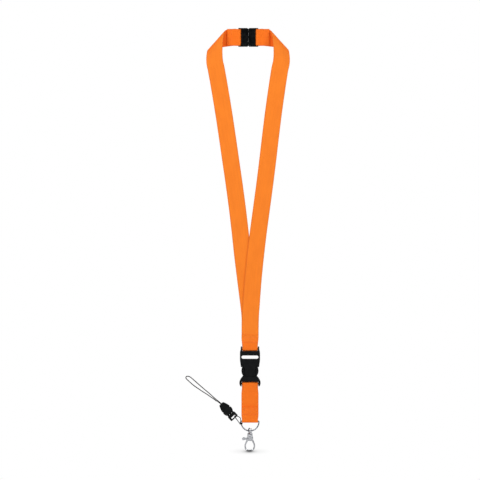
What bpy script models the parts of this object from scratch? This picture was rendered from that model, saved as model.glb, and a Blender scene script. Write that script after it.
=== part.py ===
"""Neck lanyard with a breakaway clip, a side release buckle, a trigger hook and a phone strap.

The lanyard hangs from its neck loop. +Z is up and the wearer's front is towards -Y. The origin is the
nape point: it lies midway between the legs, level with the lower edge of the neck band. All numbers
below are millimetres, and are turned into metres when a mesh or a curve is made.
"""
import math

import bmesh
import bpy
from mathutils import Vector

MM = 0.001

# webbing
WEB_WIDTH = 20.3
WEB_WIDTH_AT_BAR = 19.0
WEB_THICK = 1.0
LAYER_PITCH = 1.15          # centre to centre of two layers sewn together
BAR_GAP = 0.22              # between a bar and the webbing that turns round it
COLUMNS = 7                 # points across the webbing, and the middle one
MIDDLE = 3
LEG_STEP = 9.0              # between rows of points, along a leg and along a fold
FOLD_STEP = 1.6
WRAP_STEP = 0.9             # between rows round the buckles' bars

# neck loop: (x, z) of the centreline of each leg, from the join upwards
LEFT_LEG = [(2.1, -356.4), (2.1, -341.0), (2.0, -327.3), (0.5, -312.7), (-3.2, -283.6), (-6.8, -254.5),
            (-9.9, -225.5), (-13.3, -196.4), (-17.2, -167.3), (-21.4, -138.2), (-25.6, -109.1),
            (-30.0, -80.0), (-34.8, -50.9), (-38.5, -30.0), (-41.3, -12.0)]
RIGHT_LEG = [(2.1, -356.4), (2.2, -341.0), (2.6, -327.3), (3.6, -312.7), (5.8, -283.6), (8.7, -254.5),
             (12.1, -225.5), (16.0, -196.4), (19.9, -167.3), (23.5, -138.2), (26.9, -109.1),
             (30.5, -80.0), (34.6, -50.9), (37.8, -30.0), (40.6, -12.0)]
NECK_JOIN_TAB_TOP = -350.7
NECK_INNER_END = -361.5
STRAIGHT_BELOW = -355.0      # the straps hang straight and level below this height
FOLD_ROWS_ABOVE = -60.0     # rows are close together above this height, where the webbing folds
CROSSING_TOP = -235.0       # below this height the left leg lies behind the right one
LEGS_LEVEL_TOP = -120.0     # above this height both legs lie in one plane
LEG_CUT = -62.0             # height where the left strap is split for the breakaway joint
CUT_GAP = 0.35              # between the two solids of the left strap
BAND_DEPTH = 5.0            # what lies further back than this belongs to the neck band

# the soft mitre folds that turn the legs into the neck band
FOLD_ANGLE_LEFT = 48.3      # degrees of the fold line above the x axis
FOLD_ANGLE_RIGHT = 47.6
FOLD_OFFSET_LEFT = 33.6     # distance of the fold's outermost line from the nape point
FOLD_OFFSET_RIGHT = 32.9
FOLD_LEAN = math.radians(40.0)
FOLD_LEAN_LENGTH = 24.0
FOLD_RADIUS = 3.4
NECK_TAB_END = 25.7         # distance from the centre plane to the ends of the neck band's tabs

# breakaway clip
CLIP_Z = 11.1
CLIP_HALF = 11.3
CLIP_BODY = 8.2
CLIP_RAIL_END = 12.1
CLIP_BAR = 10.5
CLIP_BAR_RADIUS = 0.85
CLIP_DEPTH = 2.7

# side release buckle
GEAR_X = 2.0                # the x of the axis that the lower gear hangs on
BUCKLE_SEAM_Z = -400.0
BUCKLE_DEPTH = 3.8
BUCKLE_BAR = 32.65          # heights of the two bars above the seam
BUCKLE_BASE_BAR = -9.2
BUCKLE_BAR_RADIUS = 1.25

# lower strap, ring and hook
LOWER_TAB_TOP = -437.9
LOWER_HALF = 9.8            # half of the width of the lower strap
RING_BAR_Z = -454.8
RING_WIRE = 0.75
RING_HALF = 10.85
RING_CORNER = 1.0
RING_ARC_Z = -455.9
EYE_RADIUS = 2.7
EYE_WIRE = 0.9
EYE_RISE = 0.3              # how far the eye's middle lies above the ring's wire
EYE_TURN = math.radians(43.0)
HOOK_WIRE = 0.95
GATE_PIVOT = (-0.1, -475.9)
GATE_REACH = 9.75           # from the gate's pivot to its tip
HOOK_CHEEKS_Z = -476.0      # the height that the hook's outlines are drawn from
SEAT_X = -0.6               # the lowest point of the bow, from the gear's axis
SEAT_HALF = 1.3             # half of the length of the flat seat inside the bow
SEAT_DROP = 13.85           # the seat's depth below the cheeks
POST_RADIUS = 0.9

# phone strap
HITCH_Z = -457.7
MINI_SEAM = (-21.63, -445.93)
MINI_TURN = math.radians(-43.1)
TETHER_WIRE = 0.5
STRING_WIRE = 0.55
STITCH_WIRE = 0.18

ORANGE = (1.0, 0.22, 0.02, 1.0)
BLACK = (0.012, 0.013, 0.014, 1.0)
NICKEL = (0.72, 0.71, 0.69, 1.0)


def clear_scene():
    for obj in list(bpy.data.objects):
        bpy.data.objects.remove(obj)


def material(name, colour, roughness, metallic=0.0):
    found = bpy.data.materials.get(name)
    if found:
        return found
    made = bpy.data.materials.new(name)
    made.use_nodes = True
    shader = made.node_tree.nodes["Principled BSDF"]
    shader.inputs["Base Color"].default_value = colour
    shader.inputs["Roughness"].default_value = roughness
    shader.inputs["Metallic"].default_value = metallic
    return made


def webbing_material():
    return material("orange_webbing", ORANGE, 0.85)


def thread_material():
    return material("orange_thread", ORANGE, 0.7)


def plastic_material():
    return material("black_plastic", BLACK, 0.4)


def cord_material():
    return material("black_cord", BLACK, 0.8)


def metal_material():
    return material("nickel_plate", NICKEL, 0.22, 1.0)


def link(name, data, surface, parent=None):
    obj = bpy.data.objects.new(name, data)
    bpy.context.scene.collection.objects.link(obj)
    if surface is not None:
        data.materials.append(surface)
    if parent is not None:
        obj.parent = parent
    return obj


def pivot(name, x, y, z, turn_y=0.0):
    """An empty that carries a group of parts, or stands on a joint's axis."""
    empty = bpy.data.objects.new(name, None)
    empty.location = (x * MM, y * MM, z * MM)
    empty.rotation_euler = (0.0, turn_y, 0.0)
    bpy.context.scene.collection.objects.link(empty)
    return empty


def finish_mesh(name, shape, surface, parent=None, smooth=None):
    """Turn a bmesh in millimetres into a mesh object in metres, with its faces pointing out."""
    bmesh.ops.recalc_face_normals(shape, faces=shape.faces)
    bmesh.ops.scale(shape, vec=(MM, MM, MM), verts=shape.verts)
    data = bpy.data.meshes.new(name)
    shape.to_mesh(data)
    shape.free()
    if smooth is not None:
        data.shade_smooth()
        data.set_sharp_from_angle(angle=math.radians(smooth))
    return link(name, data, surface, parent)


def prism(name, outline, front, back, surface=None, parent=None):
    """A flat outline in x and z, drawn out from y = front to y = back."""
    shape = bmesh.new()
    rim = [shape.verts.new((x, front, z)) for x, z in outline]
    face = shape.faces.new(rim)
    drawn = bmesh.ops.extrude_face_region(shape, geom=[face])
    moved = [item for item in drawn["geom"] if isinstance(item, bmesh.types.BMVert)]
    bmesh.ops.translate(shape, vec=(0.0, back - front, 0.0), verts=moved)
    return finish_mesh(name, shape, surface, parent)


def rod(name, radius, start, end, sides, surface=None, parent=None):
    """A straight round bar between two points."""
    start = Vector(start)
    end = Vector(end)
    axis = end - start
    shape = bmesh.new()
    bmesh.ops.create_cone(shape, cap_ends=True, segments=sides, radius1=radius, radius2=radius,
                          depth=axis.length)
    turn = Vector((0.0, 0.0, 1.0)).rotation_difference(axis.normalized())
    bmesh.ops.rotate(shape, cent=(0.0, 0.0, 0.0), matrix=turn.to_matrix(), verts=shape.verts)
    bmesh.ops.translate(shape, vec=(start + end) / 2.0, verts=shape.verts)
    return finish_mesh(name, shape, surface, parent, smooth=40.0)


def ring_about(name, centre, axis, radius, wire, turns, sides, surface, parent=None):
    """A round ring of round wire."""
    shape = bmesh.new()
    axis = Vector(axis).normalized()
    across = axis.orthogonal().normalized()
    other = axis.cross(across)
    loops = []
    for step in range(turns):
        angle = 2.0 * math.pi * step / turns
        out = across * math.cos(angle) + other * math.sin(angle)
        loop = []
        for side in range(sides):
            around = 2.0 * math.pi * side / sides
            point = Vector(centre) + out * (radius + wire * math.cos(around)) + axis * wire * math.sin(around)
            loop.append(shape.verts.new(point))
        loops.append(loop)
    for step in range(turns):
        here = loops[step]
        there = loops[(step + 1) % turns]
        for side in range(sides):
            following = (side + 1) % sides
            shape.faces.new((here[side], here[following], there[following], there[side]))
    return finish_mesh(name, shape, surface, parent, smooth=60.0)


def wire_curve(name, points, radius, surface, parent=None, closed=False, sides=2):
    """A round wire through points in space."""
    data = bpy.data.curves.new(name, "CURVE")
    data.dimensions = "3D"
    data.bevel_depth = radius * MM
    data.bevel_resolution = sides
    data.use_fill_caps = not closed
    data.render_resolution_u = 0
    spline = data.splines.new("POLY")
    spline.points.add(len(points) - 1)
    for index, point in enumerate(points):
        spline.points[index].co = (point[0] * MM, point[1] * MM, point[2] * MM, 1.0)
    spline.use_cyclic_u = closed
    return link(name, data, surface, parent)


def bent_bar(name, points, radius, sides, surface, parent=None):
    """A round bar that bends in the x and z plane, as a mesh with flat ends."""
    shape = bmesh.new()
    points = [Vector(point) for point in points]
    loops = []
    for index, point in enumerate(points):
        heading = points[min(index + 1, len(points) - 1)] - points[max(index - 1, 0)]
        out = Vector((heading.z, 0.0, -heading.x)).normalized()
        loop = []
        for side in range(sides):
            around = 2.0 * math.pi * (side + 0.5) / sides
            offset = out * math.cos(around) + Vector((0.0, 1.0, 0.0)) * math.sin(around)
            loop.append(shape.verts.new(point + offset * radius))
        loops.append(loop)
    for here, there in zip(loops, loops[1:]):
        for side in range(sides):
            following = (side + 1) % sides
            shape.faces.new((here[side], here[following], there[following], there[side]))
    shape.faces.new(loops[0])
    shape.faces.new(loops[-1])
    return finish_mesh(name, shape, surface, parent, smooth=50.0)


def hide_tool(tool):
    tool.hide_render = True
    tool.display_type = "WIRE"


def combine(target, tool, operation):
    """Add or cut away a helper solid, and keep the helper out of the model."""
    step = target.modifiers.new(operation.lower() + "_" + tool.name, "BOOLEAN")
    step.operation = operation
    step.solver = "EXACT"
    step.object = tool
    hide_tool(tool)


def mirrored(half):
    """A whole outline from its right half, which runs from the lower end to the upper end."""
    return half + [(-x, z) for x, z in reversed(half)]


def arc(centre, radius, first, last, steps):
    """Points on an arc, with angles in degrees from the x axis towards z."""
    points = []
    for step in range(steps + 1):
        angle = math.radians(first + (last - first) * step / steps)
        points.append((centre[0] + radius * math.cos(angle), centre[1] + radius * math.sin(angle)))
    return points


def box_outline(x0, x1, z0, z1):
    return [(x0, z0), (x1, z0), (x1, z1), (x0, z1)]


def smooth_path(points, step):
    """Evenly spaced points on a smooth curve through the given ones."""
    points = [Vector(point) for point in points]
    padded = [points[0] * 2.0 - points[1]] + points + [points[-1] * 2.0 - points[-2]]
    dense = []
    for index in range(1, len(padded) - 2):
        before, start, end, after = padded[index - 1:index + 3]
        for part in range(24):
            t = part / 24.0
            dense.append(0.5 * (2.0 * start + (end - before) * t
                                + (2.0 * before - 5.0 * start + 4.0 * end - after) * t ** 2
                                + (3.0 * start - before - 3.0 * end + after) * t ** 3))
    dense.append(points[-1])
    length = sum((b - a).length for a, b in zip(dense, dense[1:]))
    count = max(2, round(length / step))
    spaced = [dense[0]]
    wanted = length / count
    walked = 0.0
    for a, b in zip(dense, dense[1:]):
        piece = (b - a).length
        while piece > 0.0 and walked + piece >= wanted * len(spaced) and len(spaced) < count:
            spaced.append(a.lerp(b, (wanted * len(spaced) - walked) / piece))
        walked += piece
    spaced.append(dense[-1])
    return spaced


def ease(value):
    value = min(1.0, max(0.0, value))
    return value * value * (3.0 - 2.0 * value)


def thick_sheet(name, rows, thickness, surface, parent=None):
    """A closed solid around a grid of points: each row runs across the webbing."""
    count = len(rows)
    width = len(rows[0])
    normals = []
    for i in range(count):
        line = []
        for j in range(width):
            along = rows[min(i + 1, count - 1)][j] - rows[max(i - 1, 0)][j]
            across = rows[i][min(j + 1, width - 1)] - rows[i][max(j - 1, 0)]
            line.append(along.cross(across).normalized())
        normals.append(line)
    shape = bmesh.new()
    sides = []
    for sign in (-0.5, 0.5):
        grid = []
        for i in range(count):
            grid.append([shape.verts.new(rows[i][j] + normals[i][j] * thickness * sign)
                         for j in range(width)])
        sides.append(grid)
    for grid in sides:
        for i in range(count - 1):
            for j in range(width - 1):
                shape.faces.new((grid[i][j], grid[i][j + 1], grid[i + 1][j + 1], grid[i + 1][j]))
    lower, upper = sides
    for i in range(count - 1):
        for j in (0, width - 1):
            shape.faces.new((lower[i][j], lower[i + 1][j], upper[i + 1][j], upper[i][j]))
    for j in range(width - 1):
        for i in (0, count - 1):
            shape.faces.new((lower[i][j], lower[i][j + 1], upper[i][j + 1], upper[i][j]))
    return finish_mesh(name, shape, surface, parent, smooth=50.0)


class Fold:
    """The soft mitre fold of one leg, drawn for the left side and mirrored for the right.

    The webbing bends about lines parallel to the fold line. It leans back as it nears the fold, then
    rolls over and runs on behind, facing the other way. `out` is the distance from the nape point
    square to the fold line, and `flat` is the same distance measured along the webbing.
    """

    STEP = 0.1

    def __init__(self, angle, offset):
        self.line = Vector((math.cos(math.radians(angle)), math.sin(math.radians(angle))))
        self.away = Vector((-self.line.y, self.line.x))
        self.profile = [(0.0, 0.0, 0.0)]
        flat = out = depth = widest = 0.0
        heading = 0.0
        while heading < math.pi:
            if flat < FOLD_LEAN_LENGTH:
                heading = FOLD_LEAN * ease(flat / FOLD_LEAN_LENGTH)
            else:
                heading = FOLD_LEAN + (flat - FOLD_LEAN_LENGTH) / FOLD_RADIUS
            out += math.cos(heading) * self.STEP
            depth += math.sin(heading) * self.STEP
            flat += self.STEP
            widest = max(widest, out)
            self.profile.append((flat, out, depth))
        self.start = offset - widest
        self.turned = flat
        self.back_out = out
        self.depth = depth

    def place(self, flat_point):
        """Where a point of the flat webbing lies once it is folded."""
        along = flat_point.dot(self.line)
        flat = flat_point.dot(self.away) - self.start
        if flat <= 0.0:
            out, depth = flat, 0.0
        elif flat >= self.turned:
            out, depth = self.back_out - (flat - self.turned), self.depth
        else:
            index = min(int(flat / self.STEP), len(self.profile) - 2)
            first, second = self.profile[index], self.profile[index + 1]
            share = (flat - first[0]) / self.STEP
            out = first[1] + (second[1] - first[1]) * share
            depth = first[2] + (second[2] - first[2]) * share
        spot = self.line * along + self.away * (out + self.start)
        return Vector((spot.x, depth, spot.y))

    def flatten_band(self, x, z):
        """The flat webbing's point that ends up at (x, z) in the neck band."""
        point = Vector((x, z))
        flat = self.turned + self.back_out + self.start - point.dot(self.away)
        return self.line * point.dot(self.line) + self.away * (flat + self.start)

    def flatten_leg(self, x, z):
        """The flat webbing's point that ends up at (x, z) in the leg."""
        point = Vector((x, z))
        out = point.dot(self.away) - self.start
        flat = out
        for entry in self.profile:
            if entry[1] >= out:
                flat = entry[0]
                break
        if out <= 0.0:
            flat = out
        return self.line * point.dot(self.line) + self.away * (flat + self.start)


def clip_bar_radius():
    """Radius of the webbing's middle where it turns round the clip's bar."""
    return CLIP_BAR_RADIUS + BAR_GAP + WEB_THICK / 2.0


def clip_plane(fold):
    """The clip's middle lies between the two layers of the neck band."""
    return fold.depth - LAYER_PITCH / 2.0


def wrap_bar(point, plane):
    """Carry the neck band round the clip's bar and back along its own front."""
    centre = CLIP_BAR
    radius = clip_bar_radius()
    spread = radius - LAYER_PITCH / 2.0
    past = point.x + centre
    if past <= 0.0:
        return Vector((point.x, point.y + spread * ease(1.0 + past / 6.0), point.z))
    turn = past / radius
    if turn < math.pi:
        return Vector((-centre + radius * math.sin(turn), plane + radius * math.cos(turn), point.z))
    gone = past - math.pi * radius
    return Vector((-centre - gone, plane - radius + spread * ease(gone / 6.0), point.z))


def leg_depth(side, z):
    """How far behind the front strap a leg lies."""
    if side > 0:
        return 0.0
    return LAYER_PITCH * (1.0 - ease((z - CROSSING_TOP) / (LEGS_LEVEL_TOP - CROSSING_TOP)))


def web_width(z):
    """The webbing is drawn in a little where it passes the buckle's bar."""
    return WEB_WIDTH_AT_BAR + (WEB_WIDTH - WEB_WIDTH_AT_BAR) * ease((z + 366.0) / 14.0)


def neck_rows(side, leg, fold):
    """Rows of points across one half of the neck loop, from the join to the tab on the neck band.

    The left half is drawn as it lies, and the right half as its mirror image.
    """
    centre = [fold.flatten_leg(-side * x, z) for x, z in leg]
    extra = math.pi * clip_bar_radius() + NECK_TAB_END - CLIP_BAR
    for x, z in ((-20.0, 10.7), (-CLIP_BAR - 2.0, CLIP_Z), (-CLIP_BAR + extra, CLIP_Z)):
        centre.append(fold.flatten_band(x, z))
    lower = smooth_path([(p.x, p.y, 0.0) for p in centre], FOLD_STEP)
    rows = []
    skipped = 0.0
    for index, spot in enumerate(lower):
        before = lower[max(0, index - 1)]
        skipped += (spot - before).length
        if spot.y < FOLD_ROWS_ABOVE and 0 < index and skipped < LEG_STEP:
            continue
        skipped = 0.0
        after = lower[min(len(lower) - 1, index + 1)]
        heading = (after - before).normalized()
        across = Vector((heading.y, -heading.x))
        width = web_width(spot.y)
        row = []
        for j in range(COLUMNS):
            share = j / (COLUMNS - 1) - 0.5
            flat = Vector((spot.x, spot.y)) + across * width * share
            place = fold.place(flat)
            if place.y >= fold.depth - 1e-6:
                place = wrap_bar(place, clip_plane(fold))
            place.y += leg_depth(side, place.z) if place.z < LEGS_LEVEL_TOP else 0.0
            place.x *= -side
            row.append(place)
        rows.append(row)
    return rows


def make_webbing():
    """Both halves of the neck loop and the thread that holds them."""
    left_fold = Fold(FOLD_ANGLE_LEFT, FOLD_OFFSET_LEFT)
    right_fold = Fold(FOLD_ANGLE_RIGHT, FOLD_OFFSET_RIGHT)
    right = tail(neck_rows(1, RIGHT_LEG, right_fold), NECK_INNER_END)
    thick_sheet("neck_strap_right", right, WEB_THICK, webbing_material())

    left = neck_rows(-1, LEFT_LEG, left_fold)
    left = above_join(left)
    leg = [row for row in left if row[MIDDLE].z < LEG_CUT and row[MIDDLE].y < BAND_DEPTH]
    band = left[len(leg) - 1:]
    first = band[0]
    heading = (band[1][MIDDLE] - first[MIDDLE]).normalized()
    band[0] = [point + heading * CUT_GAP for point in first]
    leg = buckle_wrap() + leg
    thick_sheet("neck_strap_left", leg, WEB_THICK, webbing_material())
    thick_sheet("neck_strap_left_band", band, WEB_THICK, webbing_material())
    return left_fold, right_fold


def above_join(rows):
    """The rows of a leg that lie above the sewn join."""
    return [row for row in rows if row[MIDDLE].z > STRAIGHT_BELOW or row[MIDDLE].y > BAND_DEPTH]


def straight_row(half, depth, z, flip):
    """A level row across a strap that hangs on the gear's axis."""
    return [Vector((GEAR_X + flip * half * (j - MIDDLE) / MIDDLE, depth, z)) for j in range(COLUMNS)]


def tail(rows, end):
    """Carry the right strap straight down to its end inside the sewn join."""
    low = [straight_row(web_width(z) / 2.0, 0.0, z, -1.0) for z in (end, (end + STRAIGHT_BELOW) / 2.0)]
    return low + above_join(rows)


def strap_rows(path):
    """Rows of a strap that runs in the y and z plane: the path's x is half of its width."""
    return [straight_row(point.x, point.y, point.z, 1.0) for point in path]


def buckle_wrap():
    """The left strap's end: a tab up the front, round the buckle's bar and up the back."""
    bar_z = BUCKLE_SEAM_Z + BUCKLE_BAR
    reach = BUCKLE_BAR_RADIUS + BAR_GAP + WEB_THICK / 2.0
    half = WEB_WIDTH_AT_BAR / 2.0
    wide = WEB_WIDTH / 2.0
    route = [(wide, -LAYER_PITCH, NECK_JOIN_TAB_TOP), (wide - 0.1, -LAYER_PITCH, -356.5),
             (half + 0.1, -LAYER_PITCH - 0.1, -360.0)]
    for y, z in arc((0.0, bar_z), reach, 180.0, 360.0, 8):
        route.append((half, y, z))
    route += [(half + 0.1, LAYER_PITCH + 0.1, -360.0), (wide - 0.1, LAYER_PITCH, -356.5)]
    return strap_rows(smooth_path(route, WRAP_STEP))


def make_lower_strap():
    """One strip round the buckle's lower bar and the ring, sewn where its ends lie together."""
    bar_z = BUCKLE_SEAM_Z + BUCKLE_BASE_BAR
    top_reach = BUCKLE_BAR_RADIUS + BAR_GAP + WEB_THICK / 2.0
    low_reach = RING_WIRE + BAR_GAP + WEB_THICK / 2.0
    half = LOWER_HALF
    pair = LAYER_PITCH / 2.0
    route = [(half, -LAYER_PITCH, LOWER_TAB_TOP), (half, -LAYER_PITCH, -443.0),
             (half, -LAYER_PITCH, -448.0), (half, -LAYER_PITCH - 0.2, -451.5)]
    for y, z in arc((0.0, RING_BAR_Z), low_reach, 180.0, 360.0, 8):
        route.append((half, y, z))
    route += [(half, LAYER_PITCH + 0.2, -451.5), (half, LAYER_PITCH, -448.0),
              (half, LAYER_PITCH, -438.0), (half, pair + 0.05, -431.0), (half, pair, -421.0),
              (half, 1.3, -416.5)]
    for y, z in arc((0.0, bar_z), top_reach, 0.0, 180.0, 8):
        route.append((half, y, z))
    route += [(half, -1.3, -416.5), (half, -pair, -421.0), (half, -pair - 0.05, -431.0),
              (half, -0.1, -436.5), (half, 0.0, -440.0), (half, 0.0, -446.5)]
    rows = strap_rows(smooth_path(route, WRAP_STEP))
    thick_sheet("lower_strap", rows, WEB_THICK, webbing_material())


def stitch_box(name, width, z0, z1, depth, parent=None):
    """A sewn box of thread that lies on a strap's front face."""
    half = width / 2.0
    corners = [(GEAR_X - half, z0), (GEAR_X + half, z0), (GEAR_X + half, z1), (GEAR_X - half, z1)]
    points = [(x, depth, z) for x, z in corners]
    wire_curve(name, points, STITCH_WIRE, thread_material(), parent, closed=True, sides=1)


def make_stitching(left_fold, right_fold):
    face = -LAYER_PITCH - WEB_THICK / 2.0 - STITCH_WIRE - 0.1
    stitch_box("neck_join_stitching", 16.4, -359.0, -352.6, face)
    stitch_box("lower_strap_stitching", 16.4, -447.0, -439.8, face)
    for side, fold, name in ((-1, left_fold, "left_tab_stitching"), (1, right_fold, "right_tab_stitching")):
        depth = fold.depth - LAYER_PITCH - WEB_THICK / 2.0 - STITCH_WIRE - 0.1
        inner = NECK_TAB_END - 5.2
        outer = NECK_TAB_END - 1.8
        corners = [(inner, 3.0), (outer, 3.0), (outer, 19.2), (inner, 19.2)]
        points = [(side * x, depth, z) for x, z in corners]
        wire_curve(name, points, STITCH_WIRE, thread_material(), closed=True, sides=1)


def make_latch(prefix, frame, plan):
    """A side release pair: a socket above the seam, a base below it, and two springy prongs.

    Each piece is drawn about the middle of the seam, with +z into the socket.
    """
    plastic = plastic_material()
    names = plan["names"]
    depth = plan["depth"]
    inner = plan["cavity_depth"]

    socket = prism(names[0], mirrored(plan["socket"]), -depth, depth, plastic, frame)
    if plan.get("panel"):
        tool = prism(prefix + "_panel", mirrored(plan["panel"]), -depth - 0.35, depth + 0.35, None, frame)
        combine(socket, tool, "UNION")
    if plan.get("socket_bar"):
        combine(socket, cross_bar(prefix + "_socket_bar", plan["socket_bar"], frame), "UNION")
    tool = prism(prefix + "_cavity", mirrored(plan["cavity"]), -inner, inner, None, frame)
    combine(socket, tool, "DIFFERENCE")
    for index, slot in enumerate(plan.get("socket_slots", [])):
        tool = prism(prefix + "_socket_slot_%d" % index, rounded_slot(*slot), -9.0, 9.0, None, frame)
        combine(socket, tool, "DIFFERENCE")

    base = prism(names[1], mirrored(plan["base"]), -plan["base_depth"], plan["base_depth"], plastic, frame)
    if plan.get("base_bar"):
        combine(base, cross_bar(prefix + "_base_bar", plan["base_bar"], frame), "UNION")
    low, high, half, thick = plan["tongue"]
    tool = prism(prefix + "_tongue", box_outline(-half, half, low, high), -thick, thick, None, frame)
    combine(base, tool, "UNION")
    for side in (-1, 1):
        outline = [(side * x, z) for x, z in plan["pocket"]]
        tool = prism(prefix + "_pocket_%d" % side, outline, -inner, inner, None, frame)
        combine(base, tool, "DIFFERENCE")
    for index, slot in enumerate(plan.get("base_slots", [])):
        tool = prism(prefix + "_base_slot_%d" % index, rounded_slot(*slot), -9.0, 9.0, None, frame)
        combine(base, tool, "DIFFERENCE")

    thin = plan["prong_depth"]
    root = arc(plan["hinge"], plan["root"], 180.0, 360.0, 8)
    for side, name in ((-1, names[2]), (1, names[3])):
        outline = [(side * x, z) for x, z in root + plan["prong"]]
        prong = prism(name, outline, -thin, thin, plastic, frame)
        if plan.get("pad"):
            pad = [(side * x, z) for x, z in plan["pad"]]
            tool = prism(prefix + "_pad_%d" % side, pad, -plan["pad_depth"], plan["pad_depth"], None, frame)
            combine(prong, tool, "UNION")


def rounded_slot(centre_z, width, height):
    """The outline of a slot with round ends, level with x."""
    radius = height / 2.0
    reach = width / 2.0 - radius
    right = arc((reach, centre_z), radius, -90.0, 90.0, 8)
    left = arc((-reach, centre_z), radius, 90.0, 270.0, 8)
    return right + left


def cross_bar(name, size, frame):
    """The round bar that the webbing turns about: size is its height, its half length and radius."""
    centre, half, radius = size
    return rod(name, radius, (-half, 0.0, centre), (half, 0.0, centre), 16, None, frame)


def make_release_buckle():
    frame = pivot("release_buckle_frame", GEAR_X, 0.0, BUCKLE_SEAM_Z)
    plan = {
        "names": ("side_release_socket", "side_release_base", "side_release_prong_left",
                  "side_release_prong_right"),
        "depth": BUCKLE_DEPTH,
        "socket": [(6.3, 0.25), (6.3, 8.5), (7.2, 10.9), (10.5, 10.9), (11.1, 11.6), (12.2, 19.5),
                   (12.2, 28.0), (11.9, 30.2), (11.3, 31.8), (11.2, 35.4), (10.7, 36.0), (9.7, 35.4),
                   (9.7, 29.1)],
        "panel": [(6.0, 0.6), (6.0, 8.6), (9.8, 20.2)],
        "socket_bar": (BUCKLE_BAR, 10.2, BUCKLE_BAR_RADIUS),
        "cavity": [(9.35, -1.0), (9.35, 12.6), (10.6, 12.8), (10.6, 18.6), (9.6, 19.8)],
        "cavity_depth": 2.05,
        "socket_slots": [(22.9, 20.6, 4.2)],
        "base": [(10.1, -6.4), (10.2, -12.2), (11.0, -12.6), (11.9, -11.8), (12.6, -10.2), (12.9, -8.2),
                 (12.6, -6.3), (11.7, -4.2), (10.6, -2.3), (9.3, -0.9), (8.5, -0.3)],
        "base_depth": 3.7,
        "base_bar": (BUCKLE_BASE_BAR, 10.6, BUCKLE_BAR_RADIUS),
        "tongue": (-1.0, 14.0, 1.6, 1.7),
        "pocket": [(3.0, 0.6), (3.0, -5.0), (8.0, -5.0), (8.6, -2.0), (10.5, 0.6)],
        "hinge": (5.6, -3.0),
        "root": 1.5,
        "prong_depth": 1.85,
        "prong": [(7.5, -1.0), (8.6, 0.4), (9.9, 3.2), (10.4, 6.2), (10.1, 9.0), (9.6, 10.3),
                  (9.1, 10.75), (9.1, 12.7), (10.1, 17.8), (9.7, 18.9), (8.6, 19.2), (7.8, 18.2),
                  (6.9, 13.0), (5.9, 8.0), (4.8, 2.5), (4.3, 0.0)],
        "pad": [(8.5, 0.9), (9.95, 3.2), (10.45, 6.2), (10.15, 9.0), (9.6, 10.2), (8.5, 10.2)],
        "pad_depth": 3.2,
    }
    make_latch("release", frame, plan)


def make_breakaway_clip(fold):
    frame = pivot("breakaway_frame", 0.0, clip_plane(fold), CLIP_Z, math.radians(90.0))
    bar_half = CLIP_HALF - 0.8
    plan = {
        "names": ("breakaway_socket", "breakaway_plug_base", "breakaway_prong_upper",
                  "breakaway_prong_lower"),
        "depth": CLIP_DEPTH,
        "socket": [(10.2, 0.15), (CLIP_HALF, 1.2), (CLIP_HALF, CLIP_RAIL_END), (10.25, CLIP_RAIL_END),
                   (10.25, CLIP_BODY)],
        "socket_bar": (CLIP_BAR, bar_half, CLIP_BAR_RADIUS),
        "cavity": [(8.35, -1.0), (8.35, 2.0), (8.9, 2.2), (8.9, 6.0), (8.2, 6.6)],
        "cavity_depth": 1.5,
        "base": [(10.25, -CLIP_BODY), (10.25, -CLIP_RAIL_END), (CLIP_HALF, -CLIP_RAIL_END),
                 (CLIP_HALF, -1.2), (10.2, -0.15)],
        "base_depth": CLIP_DEPTH,
        "base_bar": (-CLIP_BAR, bar_half, CLIP_BAR_RADIUS),
        "tongue": (-1.0, 5.4, 2.0, 1.2),
        "pocket": [(4.6, 0.6), (4.6, -5.6), (9.2, -5.6), (9.2, 0.6)],
        "hinge": (6.9, -3.6),
        "root": 1.3,
        "prong_depth": 1.3,
        "prong": [(8.2, -2.5), (8.2, 2.1), (8.55, 4.9), (8.2, 5.7), (7.2, 5.8), (6.9, 5.0), (6.4, 2.0),
                  (5.8, -2.0)],
    }
    make_latch("breakaway", frame, plan)


def make_mini_buckle():
    frame = pivot("mini_buckle_frame", MINI_SEAM[0], 0.0, MINI_SEAM[1], MINI_TURN)
    plan = {
        "names": ("mini_buckle_socket", "mini_buckle_base", "mini_buckle_prong_left",
                  "mini_buckle_prong_right"),
        "depth": 2.5,
        "socket": [(4.2, 0.2), (4.2, 7.6), (5.8, 7.6), (5.9, 8.4), (5.5, 10.5), (4.5, 13.4), (3.4, 16.0),
                   (2.8, 16.6)],
        "cavity": [(4.6, -1.0), (4.6, 8.8), (4.95, 9.0), (4.75, 10.6), (4.0, 11.8)],
        "cavity_depth": 1.35,
        "base": [(4.7, -7.5), (5.35, -6.9), (5.35, -1.8), (4.9, -0.9), (4.4, -0.2)],
        "base_depth": 2.3,
        "tongue": (-1.0, 6.0, 0.8, 1.0),
        "pocket": [(1.4, 0.6), (1.4, -2.7), (4.3, -2.7), (4.7, 0.6)],
        "base_slots": [(-5.1, 6.2, 2.0)],
        "hinge": (3.1, -1.4),
        "root": 0.9,
        "prong_depth": 1.15,
        "prong": [(4.0, -0.6), (4.5, 0.5), (5.6, 2.4), (6.2, 4.6), (6.1, 6.2), (5.5, 7.2), (4.45, 7.3),
                  (4.45, 8.9), (4.7, 10.1), (4.3, 11.1), (3.5, 11.2), (3.2, 10.2), (3.4, 8.0), (3.6, 4.0),
                  (2.5, 0.4)],
    }
    make_latch("mini", frame, plan)


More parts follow.
